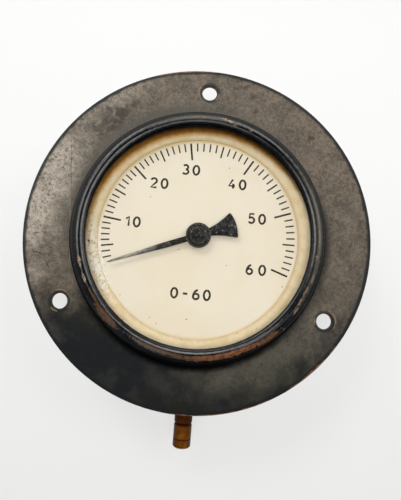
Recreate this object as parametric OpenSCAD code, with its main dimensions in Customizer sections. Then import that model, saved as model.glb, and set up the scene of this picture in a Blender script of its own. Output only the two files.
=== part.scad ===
// Panel gauge for pedal force: a Bourdon tube gauge with a front mounting flange.
// The dial looks along -Y, +X is to its right and +Z points to twelve o'clock.
// The origin is the centre of the flange's rear face, which seats on the panel.

/* [Mounting flange] */
// Outer diameter of the mounting flange
flange_d = 110; // [104:1:130]
// Sheet thickness of the mounting flange
flange_t = 1.2; // [1:0.1:2]
// Radius on the front edge of the flange
flange_edge_r = 0.35; // [0.1:0.05:0.6]
// Diameter of the circle on which the panel screws lie
bolt_circle_d = 95; // [92:0.5:97]
// Number of panel screw holes, the first at twelve o'clock
bolt_count = 3; // [3:1:6]
// Diameter of each panel screw hole
bolt_hole_d = 4.8; // [3.5:0.1:5.5]
// Width of the broken edge on the front of each hole
bolt_hole_chamfer = 0.4; // [0.1:0.1:0.6]
// Length of the drawn neck behind the flange, into which the case is pressed
neck_length = 5; // [3:0.5:6]
// Wall of the neck
neck_t = 0.8; // [0.6:0.1:1]
// Inner radius of the corner between the neck and the flange's rear face
neck_corner_r = 0.6; // [0.3:0.1:1]

/* [Case] */
// Outer diameter of the front of the case, where it passes through the flange
case_d = 76; // [75:0.5:77]
// Sheet thickness of the case
case_t = 0.7; // [0.5:0.05:0.8]
// Width of the case's rim, which rests on the front of the flange
case_rim_w = 1.3; // [1:0.1:1.6]
// Depth of the case behind the panel
case_depth = 28.5; // [28.5:0.5:36]
// How far the step that carries the dial reaches inwards
case_step_w = 1; // [0.6:0.1:1.4]
// Outer radius of the edge round the back of the case
case_back_r = 4; // [2:0.5:5]

/* [Bezel] */
// Sheet thickness of the bezel ring
bezel_t = 0.5; // [0.4:0.05:0.55]
// Width of the bezel ring, from its skirt to its opening
bezel_w = 5.35; // [5.2:0.05:7]
// Height of the bezel above the flange
bezel_h = 4.1; // [4:0.1:5]
// Height of the straight skirt at the foot of the bezel
bezel_skirt_h = 0.9; // [0.4:0.1:1.4]
// Radius of the outer bead's crest, towards the groove
bezel_crest_r = 0.8; // [0.7:0.05:0.9]
// Width of the inner bead, which curls in to the glass
bezel_curl_w = 1.3; // [1.2:0.05:1.3]
// Height of the inner bead above the glass
bezel_curl_h = 1; // [1:0.05:1.1]
// Gap between the bezel's skirt and the case's rim
bezel_gap = 0.3; // [0.1:0.05:0.5]

/* [Window] */
// Thickness of the window glass
glass_t = 1.7; // [1.5:0.1:2]
// How far the glass reaches past the outside of the case
glass_overlap = 0.5; // [0.3:0.1:0.8]
// Thickness of the gasket under the glass
gasket_t = 0.35; // [0.2:0.05:0.5]
// Wall of the ring that stands between the dial and the glass
distance_ring_t = 0.5; // [0.3:0.1:0.8]

/* [Dial] */
// Thickness of the dial plate
dial_t = 0.6; // [0.4:0.1:1]
// Depth of the dial's face behind the front of the flange
dial_depth = 2.8; // [2.4:0.1:3.4]
// Diameter of the hole in the middle of the dial
dial_hole_d = 5; // [3:0.5:6]
// Width of the flat ring that lies on the dial's edge
dial_ring_w = 5; // [3:0.2:7]
// Thickness of the flat ring on the dial
dial_ring_t = 0.5; // [0.3:0.1:0.8]

/* [Pointer] */
// Reach of the pointer's blade from the centre
pointer_reach = 29.8; // [24:0.2:31]
// Width of the blade at its root
pointer_root_w = 1.9; // [1.4:0.1:2.6]
// Width of the blade at its tip
pointer_tip_w = 0.25; // [0.2:0.05:0.6]
// Reach of the pointer's fan-shaped tail from the centre
tail_reach = 12.5; // [9:0.5:16]
// Angle that the end of the tail spans
tail_angle = 40; // [24:2:50]
// Width of the neck between the hub and the tail
tail_neck_w = 2.3; // [1.6:0.1:3]
// Thickness of the pointer's sheet
pointer_t = 0.4; // [0.3:0.05:0.5]
// Height of the blade above the dial
pointer_lift = 1.8; // [1.5:0.1:2]
// Diameter of the hub's disc
hub_disc_d = 8; // [7:0.2:9]
// Thickness of the hub's disc
hub_disc_t = 0.5; // [0.3:0.05:0.6]
// Diameter of the turned boss on the hub
hub_boss_d = 5.4; // [4.4:0.2:6]
// Height of the turned boss
hub_boss_h = 0.5; // [0.3:0.05:0.6]
// Diameter of the sleeve under the blade
hub_sleeve_d = 3.2; // [2.6:0.1:3.6]
// Direction of the pointer at rest, from three o'clock
pointer_angle = 200.3; // [180:0.1:225]

/* [Inlet] */
// Outer diameter of the inlet pipe
pipe_d = 6; // [5:0.5:7]
// Bore of the inlet pipe
pipe_bore_d = 3; // [2:0.5:3.5]
// Reach of the pipe's end from the dial's centre
pipe_reach = 69.35; // [64:0.05:80]
// Depth of the pipe's axis behind the panel face
pipe_depth = 14.8; // [14.2:0.1:15.6]
// Width of the dark groove round the pipe
pipe_groove_w = 1.05; // [0.6:0.05:1.6]
// Distance of the dark groove from the pipe's end
pipe_groove_at = 7.8; // [6:0.1:10]
// Width of the narrow notch near the pipe's end
pipe_notch_w = 0.5; // [0.3:0.1:0.8]
// Distance of the narrow notch from the pipe's end
pipe_notch_at = 2.8; // [2:0.1:3.6]
// Depth of the groove and the notch
pipe_groove_h = 0.2; // [0.1:0.05:0.4]
// How much thicker the pipe's root is, where it sits in the boss
pipe_root_extra = 1; // [0.6:0.1:2]
// How far the pipe's thick root stands out of the boss
pipe_root_out = 2; // [1:0.5:4]
// Chamfer on the pipe's end
pipe_chamfer = 0.5; // [0.2:0.1:0.8]
// Diameter of the socket's boss, which passes through the case wall
boss_d = 11; // [9:0.5:12]
// How far the boss stands out of the case wall
boss_proud = 4.5; // [3:0.5:7]
// How deep the pipe sits in the boss
pipe_seat = 4; // [3:0.5:6]

/* [Socket block] */
// Width of the socket block
block_w = 14; // [12:0.5:15]
// Height of the socket block
block_h = 11.2; // [10:0.2:12]
// Gap between the socket block and the case wall
block_gap = 1.1; // [1:0.1:1.6]
// Width of the tongue that carries the movement
tongue_w = 12; // [10:0.5:13]
// Thickness of the tongue
tongue_t = 3; // [2:0.5:4]
// Height of the tongue's top above the dial's centre
tongue_top = 3; // [2:0.5:5]

/* [Bourdon tube] */
// Radius of the tube's centre line
tube_r = 30; // [29:0.25:31]
// Width of the flattened tube, along the dial's axis
tube_w = 11; // [9:0.5:11]
// Height of the flattened tube, across its curve
tube_h = 3.4; // [2.8:0.1:4]
// Wall of the tube
tube_wall = 0.4; // [0.3:0.05:0.6]
// Direction of the tube's free end, from three o'clock
tube_end_angle = -15; // [-20:1:-10]
// How deep the tube sits in the socket block
tube_seat = 3; // [2:0.5:3.5]
// Wall of the end piece round the tube
tip_wall = 0.8; // [0.6:0.1:1.2]
// How far the end piece reaches over the tube
tip_grip = 2; // [1:0.5:3]
// Thickness of the end piece past the tube's end
tip_end_t = 2.5; // [2:0.5:4]

/* [Movement] */
// Module of the gear teeth
tooth_module = 0.25; // [0.24:0.005:0.26]
// Teeth of the pinion
pinion_teeth = 12; // [12:1:14]
// Teeth that the sector would have on a full circle
sector_full_teeth = 120; // [114:1:122]
// Direction of the sector's pivot from the centre
pivot_angle = -45; // [-48:1:-42]
// Teeth on the sector past the mesh, towards its rest side
sector_teeth_back = 3; // [2:1:4]
// Teeth on the sector past the mesh, towards its full swing
sector_teeth_ahead = 10; // [9:1:11]
// Backlash between the teeth, on the pitch circles
backlash = 0.04; // [0.02:0.01:0.08]
// Thickness of the sector
sector_t = 1.2; // [0.8:0.1:1.4]
// Width of the sector's rim under its teeth
sector_rim_w = 1.8; // [1.2:0.1:2.4]
// Width of the sector's arms
sector_arm_w = 2.2; // [1.6:0.1:2.6]
// Diameter of the sector's hub
sector_hub_d = 5; // [4:0.2:6]
// Distance of the link's screw from the sector's pivot
sector_tail_r = 7.3; // [7:0.1:7.6]
// Direction of the sector's tail at rest, from three o'clock
sector_tail_angle = -35.65; // [-40:0.05:-30]
// Length of the link between its two pins
link_length = 10; // [9:0.25:11]
// Direction of the link at rest, from three o'clock
link_angle = 70; // [66:1:76]
// Width of the link
link_w = 2.6; // [2:0.1:3]
// Thickness of the link
link_t = 0.6; // [0.4:0.1:0.8]
// Thickness of the movement's two plates
plate_t = 1.2; // [1:0.1:1.5]
// Radius round the corners of the plates
plate_corner_r = 2.6; // [2.2:0.1:3]
// Depth of the front plate's face behind the panel face
plate_front_depth = 6; // [5.5:0.1:6.4]
// Distance between the two plates
plate_gap = 8.8; // [8.6:0.1:9.2]
// Diameter of the pillars between the plates
pillar_d = 3.2; // [2.6:0.1:3.6]
// Diameter of the two arbors between the plates
arbor_d = 1.8; // [1.6:0.1:2]
// Diameter of the arbors' thin rear pivots
pivot_d = 0.8; // [0.6:0.1:1]
// Diameter of the pinion's arbor where it carries the pointer
arbor_nose_d = 1.1; // [0.9:0.1:1.2]
// Diameter of the link's two pins
link_pin_d = 1; // [0.8:0.1:1.2]
// Diameter of the link pins' heads
link_pin_head_d = 2; // [1.8:0.1:2.4]
// Turns of the hairspring
hairspring_turns = 4; // [3:1:5]
// Outer radius of the hairspring
hairspring_r = 6; // [5:0.25:6.5]
// Thickness of the hairspring's strip
hairspring_t = 0.16; // [0.12:0.02:0.24]
// Width of the hairspring's strip
hairspring_w = 1; // [0.6:0.1:1.2]

/* [Clearances] */
// Radial clearance of a shaft that turns in its hole
running_fit = 0.05; // [0.02:0.01:0.08]
// Radial clearance of a piece that is pressed or soldered in
seated_fit = 0.02; // [0.01:0.01:0.04]
// Radial clearance of the link on the tube's pin, for the tube's own path
link_play = 0.15; // [0.12:0.01:0.2]
// Clearance between pieces that slip past each other
slip_gap = 0.1; // [0.05:0.01:0.12]
// Clearance of the screws in the sheets that they pass through
screw_gap = 0.15; // [0.1:0.05:0.3]

/* [Hidden] */
$fn = 96;

// Case and window, as radii and as heights above the panel face
case_r = case_d / 2;
case_inner_r = case_r - case_t;
rear_r = case_r - case_step_w;
rim_r = case_r + case_rim_w;
flange_bore_r = case_r + slip_gap;
dial_z = flange_t - dial_depth;
dial_seat_z = dial_z - dial_t;
back_z = -case_depth;
back_inner_z = back_z + case_t;
rim_z = flange_t + case_t;
glass_z = rim_z + gasket_t;
glass_top_z = glass_z + glass_t;
glass_r = case_r + glass_overlap;
glass_edge = 0.2;
inner_fit_r = case_inner_r - slip_gap;
dial_ring_r = inner_fit_r - dial_ring_w;
neck_r = flange_bore_r + neck_t;

// Bezel
bezel_foot_r = rim_r + bezel_gap + bezel_t;
bezel_opening_r = bezel_foot_r - bezel_w;
bezel_top_z = flange_t + bezel_h;
curl_centre_r = bezel_opening_r + bezel_curl_w;
curl_start_angle = 60;
groove_r = curl_centre_r + bezel_curl_w * cos(curl_start_angle);
crest_start_angle = 100;
crest_stop_angle = 140;
crest_groove_angle = 160;
crest_centre_r = groove_r - bezel_crest_r * cos(crest_groove_angle);
shoulder_w = bezel_foot_r - crest_centre_r;
shoulder_z = flange_t + bezel_skirt_h;
bezel_lip_h = 0.1;

// Pointer
blade_z = dial_z + pointer_lift;
hub_disc_z = blade_z + pointer_t;
hub_boss_z = hub_disc_z + hub_disc_t;
hub_top_z = hub_boss_z + hub_boss_h;
hub_clear = 0.4;
hub_seat_depth = 0.4;
nose_top_z = hub_top_z - hub_seat_depth;
hub_ring_w = 0.25;
hub_ring_h = 0.12;
blade_eye_r = hub_disc_d / 2 - 0.5;
tail_steps = 8;
tail_start_r = 3;
tail_flare = 1.7;

// Movement, as heights above the panel face
front_plate_z = -plate_front_depth - plate_t;
back_plate_top_z = front_plate_z - plate_gap;
back_plate_z = back_plate_top_z - plate_t;
sector_lift = 3.8;
sector_z = back_plate_top_z + sector_lift;
sector_top_z = sector_z + sector_t;
link_gap = 0.2;
link_z = sector_top_z + link_gap;
pin_head_z = link_z + link_t + slip_gap;
pin_head_t = 0.6;
pinion_overhang = 1;
pinion_z = sector_z - pinion_overhang;
pinion_face_w = sector_t + 2 * pinion_overhang;
spring_gap = 0.8;
spring_z = front_plate_z - spring_gap - hairspring_w;
collet_edge = 0.3;
collet_wall = 0.9;
pivot_depth = plate_t - 0.2;

// Gear pair, with the sector's pivot one centre distance away
pressure_angle = 20;
pinion_pitch_r = tooth_module * pinion_teeth / 2;
sector_pitch_r = tooth_module * sector_full_teeth / 2;
centre_distance = pinion_pitch_r + sector_pitch_r;
pivot = centre_distance * [cos(pivot_angle), sin(pivot_angle)];
mesh_angle = pivot_angle + 180;
sector_pitch_angle = 360 / sector_full_teeth;
pinion_pitch_angle = 360 / pinion_teeth;
pinion_addendum = 1;
sector_addendum = 0.7;
root_clearance = 0.25;
flank_steps = 4;

// Link and its two pins
tail_point = pivot + sector_tail_r * [cos(sector_tail_angle), sin(sector_tail_angle)];
tip_point = tail_point + link_length * [cos(link_angle), sin(link_angle)];
eye_wall = 1;

// Socket block and tube
slot_wall = 1;
block_bottom = -(rear_r - case_t - block_gap);
block_top = block_bottom + block_h;
block_front_z = tube_w / 2 + slot_wall - pipe_depth;
boss_end = rear_r + boss_proud;
boss_hole_gap = 0.3;
boss_chamfer = 0.6;
block_back_cut = case_back_r - case_t;
block_face_angle = 270 - asin(block_w / 2 / tube_r);
tube_start_angle = block_face_angle + tube_seat / tube_r * 180 / PI;
seat_bottom_angle = tube_start_angle + seated_fit / tube_r * 180 / PI;
past_block_angle = 4;
cross_bore_r = 1.2;
cross_bore_y = tube_r * sin(seat_bottom_angle);
inlet_past = 0.8;
tip_lug_w = 3.2;

// Movement plates: corners of their outline, pillars and screws
low_pillar_gap = 5;
pillar_points = [[-8, 5], [9, 7], [3, block_top + low_pillar_gap]];
plate_corners = [pillar_points[0], pillar_points[1], pivot, pillar_points[2]];
movement_screw_points = [[-3.5, -4], [1.5, -13]];
plate_screw_d = 1.3;
plate_screw_head_d = 3;
plate_screw_length = 4;
pillar_spigot_d = 1.8;
movement_screw_d = 1.6;
movement_screw_head_d = 3.2;
screw_head_t = 0.8;
corner_steps = 10;
slot_w = 0.5;
slot_depth = 0.4;
stud_r = 0.7;
stud_angle = 60;
stop_r = 0.8;
stop_reach = 9;
case_screw_d = 3;
case_screw_head_d = 5.5;
case_screw_head_t = 1.8;
case_screw_length = 6;
case_screw_spread = 4;
case_screw_height = block_bottom + block_h / 2 + 0.6;
case_slot_w = 0.8;
case_slot_depth = 0.8;
screw_tip_gap = 0.5;

function unit(v) = v / norm(v);
function left_of(v) = [-v[1], v[0]];

// A point of the wall's other face, t to the left of point i on a path, with mitred corners
function wall_point(path, i, t) =
    let (last = len(path) - 1)
    let (before = left_of(unit(path[max(i, 1)] - path[max(i, 1) - 1])))
    let (after = left_of(unit(path[min(i, last - 1) + 1] - path[min(i, last - 1)])))
    path[i] + (before + after) * t / (1 + before * after);

// Section of a pressed sheet whose outer face follows the path
function sheet(path, t) = concat(path, [for (i = [len(path) - 1 : -1 : 0]) wall_point(path, i, t)]);

function arc(centre, rx, ry, from, to, steps) =
    [for (i = [0 : steps]) let (a = from + (to - from) * i / steps) centre + [rx * cos(a), ry * sin(a)]];

function polar(r, a) = [r * cos(a), r * sin(a)];

// Angle in degrees by which an involute has left its base circle at radius r
function involute_angle(base_r, r) =
    let (u = sqrt(max(pow(r / base_r, 2) - 1, 0)))
    u * 180 / PI - atan(u);

// Outline of one tooth centred on angle a, from its right root to its left root
function tooth(teeth, addendum, dedendum, a) =
    let (pitch_r = tooth_module * teeth / 2)
    let (base_r = pitch_r * cos(pressure_angle))
    let (root_r = pitch_r - dedendum * tooth_module)
    let (tip_r = pitch_r + addendum * tooth_module)
    let (half = (PI * tooth_module / 2 - backlash / 2) / 2 / pitch_r * 180 / PI)
    let (start_r = max(base_r, root_r))
    let (rise = (tip_r - start_r) / flank_steps)
    let (flank = concat([root_r], [for (i = [0 : flank_steps]) start_r + rise * i]))
    let (turn = [for (r = flank) half + involute_angle(base_r, pitch_r) - involute_angle(base_r, r)])
    let (first = root_r < base_r ? 0 : 1)
    concat([for (i = [first : len(flank) - 1]) polar(flank[i], a - turn[i])],
           [for (i = [len(flank) - 1 : -1 : first]) polar(flank[i], a + turn[i])]);

// Turns a piece modelled with its front towards +Z so that the front looks along -Y
module upright() {
    rotate([90, 0, 0]) children();
}

// A tube from radius r1 to r2, standing on height z
module ring(r1, r2, z, h) {
    translate([0, 0, z]) difference() {
        cylinder(r = r2, h = h);
        translate([0, 0, -1]) cylinder(r = r1, h = h + 2);
    }
}

module disc(r, z, h) {
    translate([0, 0, z]) cylinder(r = r, h = h);
}

// A flat bar with round ends between two points
module bar(a, b, w) {
    for (p = [a, b]) translate(p) circle(d = w);
    translate(a) rotate(atan2(b[1] - a[1], b[0] - a[0])) translate([0, -w / 2]) square([norm(b - a), w]);
}

// A screw standing in the middle of its head's underside, head towards +Z
module screw(d, length, head_d, head_t, cut_w, cut_depth) {
    difference() {
        union() {
            cylinder(d = head_d, h = head_t);
            translate([0, 0, -length]) cylinder(d = d, h = length + head_t / 2);
        }
        translate([-head_d, -cut_w / 2, head_t - cut_depth]) cube([2 * head_d, cut_w, head_t]);
    }
}

module front_flange() {
    profile = concat(
        [[flange_bore_r, -neck_length], [neck_r, -neck_length]],
        arc([neck_r + neck_corner_r, -neck_corner_r], neck_corner_r, neck_corner_r, 180, 90, 6),
        [[flange_d / 2, 0]],
        arc([flange_d / 2 - flange_edge_r, flange_t - flange_edge_r],
            flange_edge_r, flange_edge_r, 0, 90, 6),
        [[flange_bore_r, flange_t]]
    );
    hole_r = bolt_hole_d / 2;
    color("#3b3a38") upright() difference() {
        rotate_extrude() polygon(profile);
        for (i = [0 : bolt_count - 1])
            rotate(90 + 360 / bolt_count * i) translate([bolt_circle_d / 2, 0, 0]) {
                translate([0, 0, -1]) cylinder(r = hole_r, h = flange_t + 2);
                translate([0, 0, flange_t - bolt_hole_chamfer])
                    cylinder(r1 = hole_r, r2 = hole_r + 2 * bolt_hole_chamfer, h = 2 * bolt_hole_chamfer);
            }
    }
}

// Drawn steel can: rim on the front of the flange, step for the dial and a closed back
module case_can() {
    step_z = dial_seat_z - case_t;
    path = concat(
        [[rim_r, flange_t], [case_r, flange_t], [case_r, step_z], [rear_r, step_z]],
        arc([rear_r - case_back_r, back_z + case_back_r], case_back_r, case_back_r, 0, -90, 8),
        [[0, back_z]]
    );
    color("#2b2b2c") upright() difference() {
        rotate_extrude() polygon(sheet(path, -case_t));
        translate([0, 0, -pipe_depth]) rotate([90, 0, 0])
            cylinder(d = boss_d + 2 * boss_hole_gap, h = case_r + 1);
        for (side = [-1, 1]) translate([side * case_screw_spread, case_screw_height, back_z - 1])
            cylinder(d = case_screw_d + 2 * screw_gap, h = case_t + 2);
    }
}

// Pressed ring with two beads, which snaps over the rim and holds the glass
module bezel_ring() {
    path = concat(
        [[bezel_foot_r, flange_t]],
        arc([crest_centre_r, shoulder_z], shoulder_w, bezel_top_z - shoulder_z, 0, 90, 12),
        arc([crest_centre_r, bezel_top_z - bezel_crest_r], bezel_crest_r, bezel_crest_r,
            crest_start_angle, crest_stop_angle, 4),
        arc([curl_centre_r, glass_top_z + bezel_lip_h], bezel_curl_w, bezel_curl_h - bezel_lip_h,
            curl_start_angle, 180, 10),
        [[bezel_opening_r, glass_top_z]]
    );
    color("#151617") upright() rotate_extrude() polygon(sheet(path, bezel_t));
}

module window_glass() {
    profile = [
        [0, glass_z], [glass_r - glass_edge, glass_z], [glass_r, glass_z + glass_edge],
        [glass_r, glass_top_z - glass_edge], [glass_r - glass_edge, glass_top_z], [0, glass_top_z]
    ];
    color("#dfe8e8", 0.3) upright() rotate_extrude() polygon(profile);
}

module glass_gasket() {
    color("#202020") upright() ring(inner_fit_r - distance_ring_t, glass_r, rim_z, gasket_t);
}

// Black ring that stands on the dial's flat ring and ends level with the case's rim
module distance_ring() {
    foot_z = dial_z + dial_ring_t;
    color("#101010") upright() ring(inner_fit_r - distance_ring_t, inner_fit_r, foot_z, rim_z - foot_z);
}

module dial_ring() {
    edge = dial_ring_t / 2;
    top_z = dial_z + dial_ring_t;
    profile = concat(
        [[inner_fit_r, dial_z], [inner_fit_r, top_z]],
        arc([dial_ring_r + edge, top_z - edge], edge, edge, 90, 180, 6),
        [[dial_ring_r, dial_z]]
    );
    color("#d8c9a2") upright() rotate_extrude() polygon(profile);
}

module dial_plate() {
    color("#efe6cb") upright() ring(dial_hole_d / 2, inner_fit_r, dial_seat_z, dial_t);
}

// Tapered blade and fan-shaped tail, cut from one sheet
module pointer_blade() {
    tail_half = tail_reach * sin(tail_angle / 2);
    tail_end = tail_reach * cos(tail_angle / 2);
    spread = tail_half - tail_neck_w / 2;
    flare = [for (i = [0 : tail_steps])
        let (s = i / tail_steps)
        [-(tail_start_r + (tail_end - tail_start_r) * s), tail_neck_w / 2 + spread * pow(s, tail_flare)]];
    outline = concat(
        [[0, pointer_root_w / 2]],
        flare,
        [for (i = [1 : tail_steps - 1])
            polar(tail_reach, 180 - tail_angle / 2 + tail_angle * i / tail_steps)],
        [for (i = [tail_steps : -1 : 0]) [flare[i][0], -flare[i][1]]],
        [[0, -pointer_root_w / 2], [pointer_reach, -pointer_tip_w / 2], [pointer_reach, pointer_tip_w / 2]]
    );
    color("#26292c") upright() rotate(pointer_angle) translate([0, 0, blade_z]) difference() {
        linear_extrude(pointer_t) union() {
            polygon(outline);
            circle(r = blade_eye_r);
        }
        translate([0, 0, -1]) cylinder(d = hub_sleeve_d + 2 * seated_fit, h = pointer_t + 2);
    }
}

// Turned hub: sleeve under the blade, disc over it and a boss with turned rings
module pointer_hub() {
    color("#1c1e20") upright() difference() {
        union() {
            disc(hub_sleeve_d / 2, dial_z + hub_clear, hub_disc_z - dial_z - hub_clear);
            disc(hub_disc_d / 2, hub_disc_z, hub_disc_t);
            disc(hub_boss_d / 2, hub_boss_z, hub_boss_h);
        }
        disc(arbor_nose_d / 2 + seated_fit, dial_z, nose_top_z - dial_z);
        for (r = [hub_ring_w : 3 * hub_ring_w : hub_boss_d / 2 - 2 * hub_ring_w])
            ring(r, r + hub_ring_w, hub_top_z - hub_ring_h, 2 * hub_ring_h);
    }
}

// Toothed pinion on its arbor; the nose passes through the dial and carries the pointer
module pinion_arbor() {
    outline = [for (i = [0 : pinion_teeth - 1])
        each tooth(pinion_teeth, pinion_addendum, sector_addendum + root_clearance,
                   pivot_angle + pinion_pitch_angle * (i + 0.5))];
    shaft_z = back_plate_top_z + slip_gap;
    color("#b9b4a6") upright() {
        translate([0, 0, pinion_z]) linear_extrude(pinion_face_w) polygon(outline);
        disc(arbor_d / 2, shaft_z, front_plate_z - slip_gap - shaft_z);
        disc(pivot_d / 2, back_plate_top_z - pivot_depth, pivot_depth + 2 * slip_gap);
        disc(arbor_nose_d / 2, front_plate_z - 2 * slip_gap, nose_top_z - front_plate_z + slip_gap);
    }
}

module hairspring_collet() {
    bore_r = arbor_d / 2 + seated_fit;
    color("#b08d3c") upright()
        ring(bore_r, bore_r + collet_wall, spring_z - collet_edge, hairspring_w + 2 * collet_edge);
}

// Flat spiral strip from the collet to the stud
module hairspring() {
    start_r = arbor_d / 2 + seated_fit + collet_wall + seated_fit + hairspring_t / 2;
    steps = 24 * hairspring_turns;
    centre = [for (i = [0 : steps])
        let (s = i / steps)
        polar(start_r + (hairspring_r - start_r) * s, stud_angle - 360 * hairspring_turns * (1 - s))];
    color("#5a6470") upright() translate([0, 0, spring_z]) linear_extrude(hairspring_w)
        polygon(concat([for (i = [0 : steps]) wall_point(centre, i, hairspring_t / 2)],
                       [for (i = [steps : -1 : 0]) wall_point(centre, i, -hairspring_t / 2)]));
}

module hairspring_stud() {
    stud = polar(hairspring_r + hairspring_t / 2 + seated_fit + stud_r, stud_angle);
    color("#b08d3c") upright() translate(concat(stud, [spring_z - collet_edge]))
        cylinder(r = stud_r, h = front_plate_z - spring_z + collet_edge);
}

// Sector with involute teeth, two arms, a hub and a tail for the link
module sector_gear() {
    first = mesh_angle - sector_teeth_ahead * sector_pitch_angle;
    last = mesh_angle + sector_teeth_back * sector_pitch_angle;
    half = sector_pitch_angle / 2;
    dedendum = pinion_addendum + root_clearance;
    root_r = sector_pitch_r - dedendum * tooth_module;
    rim_inner_r = root_r - sector_rim_w;
    rim = concat(
        [polar(root_r, first - half)],
        [for (a = [first : sector_pitch_angle : last + half])
            each tooth(sector_full_teeth, sector_addendum, dedendum, a)],
        [polar(root_r, last + half)],
        arc([0, 0], rim_inner_r, rim_inner_r, last + half, first - half, 16)
    );
    color("#b89243") upright() translate(concat(pivot, [sector_z])) difference() {
        linear_extrude(sector_t) union() {
            polygon(rim);
            for (a = [first + half, last - half])
                bar([0, 0], polar(rim_inner_r + sector_rim_w / 2, a), sector_arm_w);
            circle(d = sector_hub_d);
            bar([0, 0], tail_point - pivot, link_pin_d + 2 * eye_wall);
        }
        translate([0, 0, -1]) {
            cylinder(d = arbor_d + 2 * seated_fit, h = sector_t + 2);
            translate(tail_point - pivot) cylinder(d = link_pin_d + 2 * seated_fit, h = sector_t + 2);
        }
    }
}

module sector_arbor() {
    shaft_z = back_plate_top_z + slip_gap;
    shaft_top_z = front_plate_z - slip_gap;
    color("#b9b4a6") upright() translate(pivot) {
        disc(arbor_d / 2, shaft_z, shaft_top_z - shaft_z);
        disc(pivot_d / 2, back_plate_top_z - pivot_depth, plate_gap + 2 * pivot_depth);
    }
}

// Post on the back plate that the sector's arm rests against at zero
module sector_stop() {
    arm = mesh_angle - (sector_teeth_ahead - 0.5) * sector_pitch_angle;
    beside = asin((sector_arm_w / 2 + stop_r + slip_gap) / stop_reach);
    color("#b9b4a6") upright() translate(concat(pivot + polar(stop_reach, arm - beside), [back_plate_top_z]))
        cylinder(r = stop_r, h = sector_lift + sector_t);
}

module link_strip() {
    color("#c9a552") upright() translate([0, 0, link_z]) difference() {
        linear_extrude(link_t) bar(tail_point, tip_point, link_w);
        translate(concat(tail_point, [-1])) cylinder(d = link_pin_d + 2 * running_fit, h = link_t + 2);
        translate(concat(tip_point, [-1])) cylinder(d = link_pin_d + 2 * link_play, h = link_t + 2);
    }
}

// Headed pin through the link, seated in the piece below it
module link_pin(point) {
    translate(concat(point, [pin_head_z]))
        screw(link_pin_d, pin_head_z - sector_z, link_pin_head_d, pin_head_t, slot_w / 2, slot_depth / 2);
}

module link_screw() {
    color("#a9a79e") upright() link_pin(tail_point);
}

module tip_pin() {
    color("#a9a79e") upright() link_pin(tip_point);
}

// The flattened tube as a solid band between two angles, grown by a clearance
module tube_band(from, to, grow) {
    r = tube_h / 2 + grow;
    translate([0, 0, -pipe_depth]) rotate(from) rotate_extrude(angle = to - from) translate([tube_r, 0]) {
        translate([-r, r - tube_w / 2 - grow]) square([2 * r, tube_w - tube_h]);
        for (side = [-1, 1]) translate([0, side * (tube_w - tube_h) / 2]) circle(r = r);
    }
}

// C-shaped spring tube, soldered into the socket block and closed by its end piece
module bourdon_tube() {
    color("#c28a4a") upright() difference() {
        tube_band(tube_end_angle, tube_start_angle, 0);
        tube_band(tube_end_angle - 1, tube_start_angle + 1, -tube_wall);
    }
}

// Brass end piece that closes the tube and carries the lug for the link
module tube_end_piece() {
    outer = tube_h / 2 + tip_wall;
    half_w = tube_w / 2 + tip_wall;
    lug_root = polar(tube_r - tube_h / 2, tube_end_angle - tip_end_t / 2 / tube_r * 180 / PI);
    color("#b89243") upright() difference() {
        union() {
            rotate(tube_end_angle) translate([tube_r - outer, -tip_end_t, -pipe_depth - half_w])
                cube([2 * outer, tip_end_t + tip_grip, 2 * half_w]);
            translate([0, 0, sector_z]) linear_extrude(sector_t) bar(tip_point, lug_root, tip_lug_w);
        }
        tube_band(tube_end_angle, tube_end_angle + 2 * (tip_grip + tip_wall) / tube_r * 180 / PI, seated_fit);
        translate(concat(tip_point, [sector_z - 1]))
            cylinder(d = link_pin_d + 2 * seated_fit, h = sector_t + 2);
    }
}

// Brass block that holds the tube, the inlet pipe and the movement inside the case
module socket_block() {
    inlet_top = cross_bore_y + cross_bore_r + inlet_past;
    boss_h = boss_end + block_bottom + 1;
    side_view = [
        [block_bottom + block_back_cut, back_inner_z], [block_top, back_inner_z], [block_top, block_front_z],
        [block_bottom, block_front_z], [block_bottom, back_inner_z + block_back_cut]
    ];
    color("#a98a45") upright() difference() {
        union() {
            rotate([90, 0, 90]) translate([0, 0, -block_w / 2]) linear_extrude(block_w) polygon(side_view);
            translate([-tongue_w / 2, block_bottom + 1, back_plate_z - tongue_t])
                cube([tongue_w, tongue_top - block_bottom - 1, tongue_t]);
            translate([0, block_bottom + 1, -pipe_depth]) rotate([90, 0, 0]) rotate_extrude() polygon([
                [0, 0], [boss_d / 2, 0], [boss_d / 2, boss_h - boss_chamfer],
                [boss_d / 2 - boss_chamfer, boss_h], [0, boss_h]
            ]);
        }
        tube_band(block_face_angle - past_block_angle, seat_bottom_angle, seated_fit);
        translate([0, inlet_top, -pipe_depth]) rotate([90, 0, 0])
            cylinder(d = pipe_bore_d, h = boss_end + inlet_top + 1);
        translate([0, -boss_end + pipe_seat, -pipe_depth]) rotate([90, 0, 0])
            cylinder(d = pipe_d + pipe_root_extra + 2 * seated_fit, h = pipe_seat + 1);
        translate([0, cross_bore_y, -pipe_depth]) rotate([0, -90, 0])
            cylinder(r = cross_bore_r, h = block_w / 2 - tube_seat / 2);
        for (side = [-1, 1]) translate([side * case_screw_spread, case_screw_height, back_inner_z - 1])
            cylinder(d = case_screw_d + 2 * seated_fit, h = case_screw_length + screw_tip_gap + 1);
        for (p = movement_screw_points) translate(concat(p, [back_plate_z - tongue_t - 1]))
            cylinder(d = movement_screw_d + 2 * seated_fit, h = tongue_t + 2);
    }
}

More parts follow.
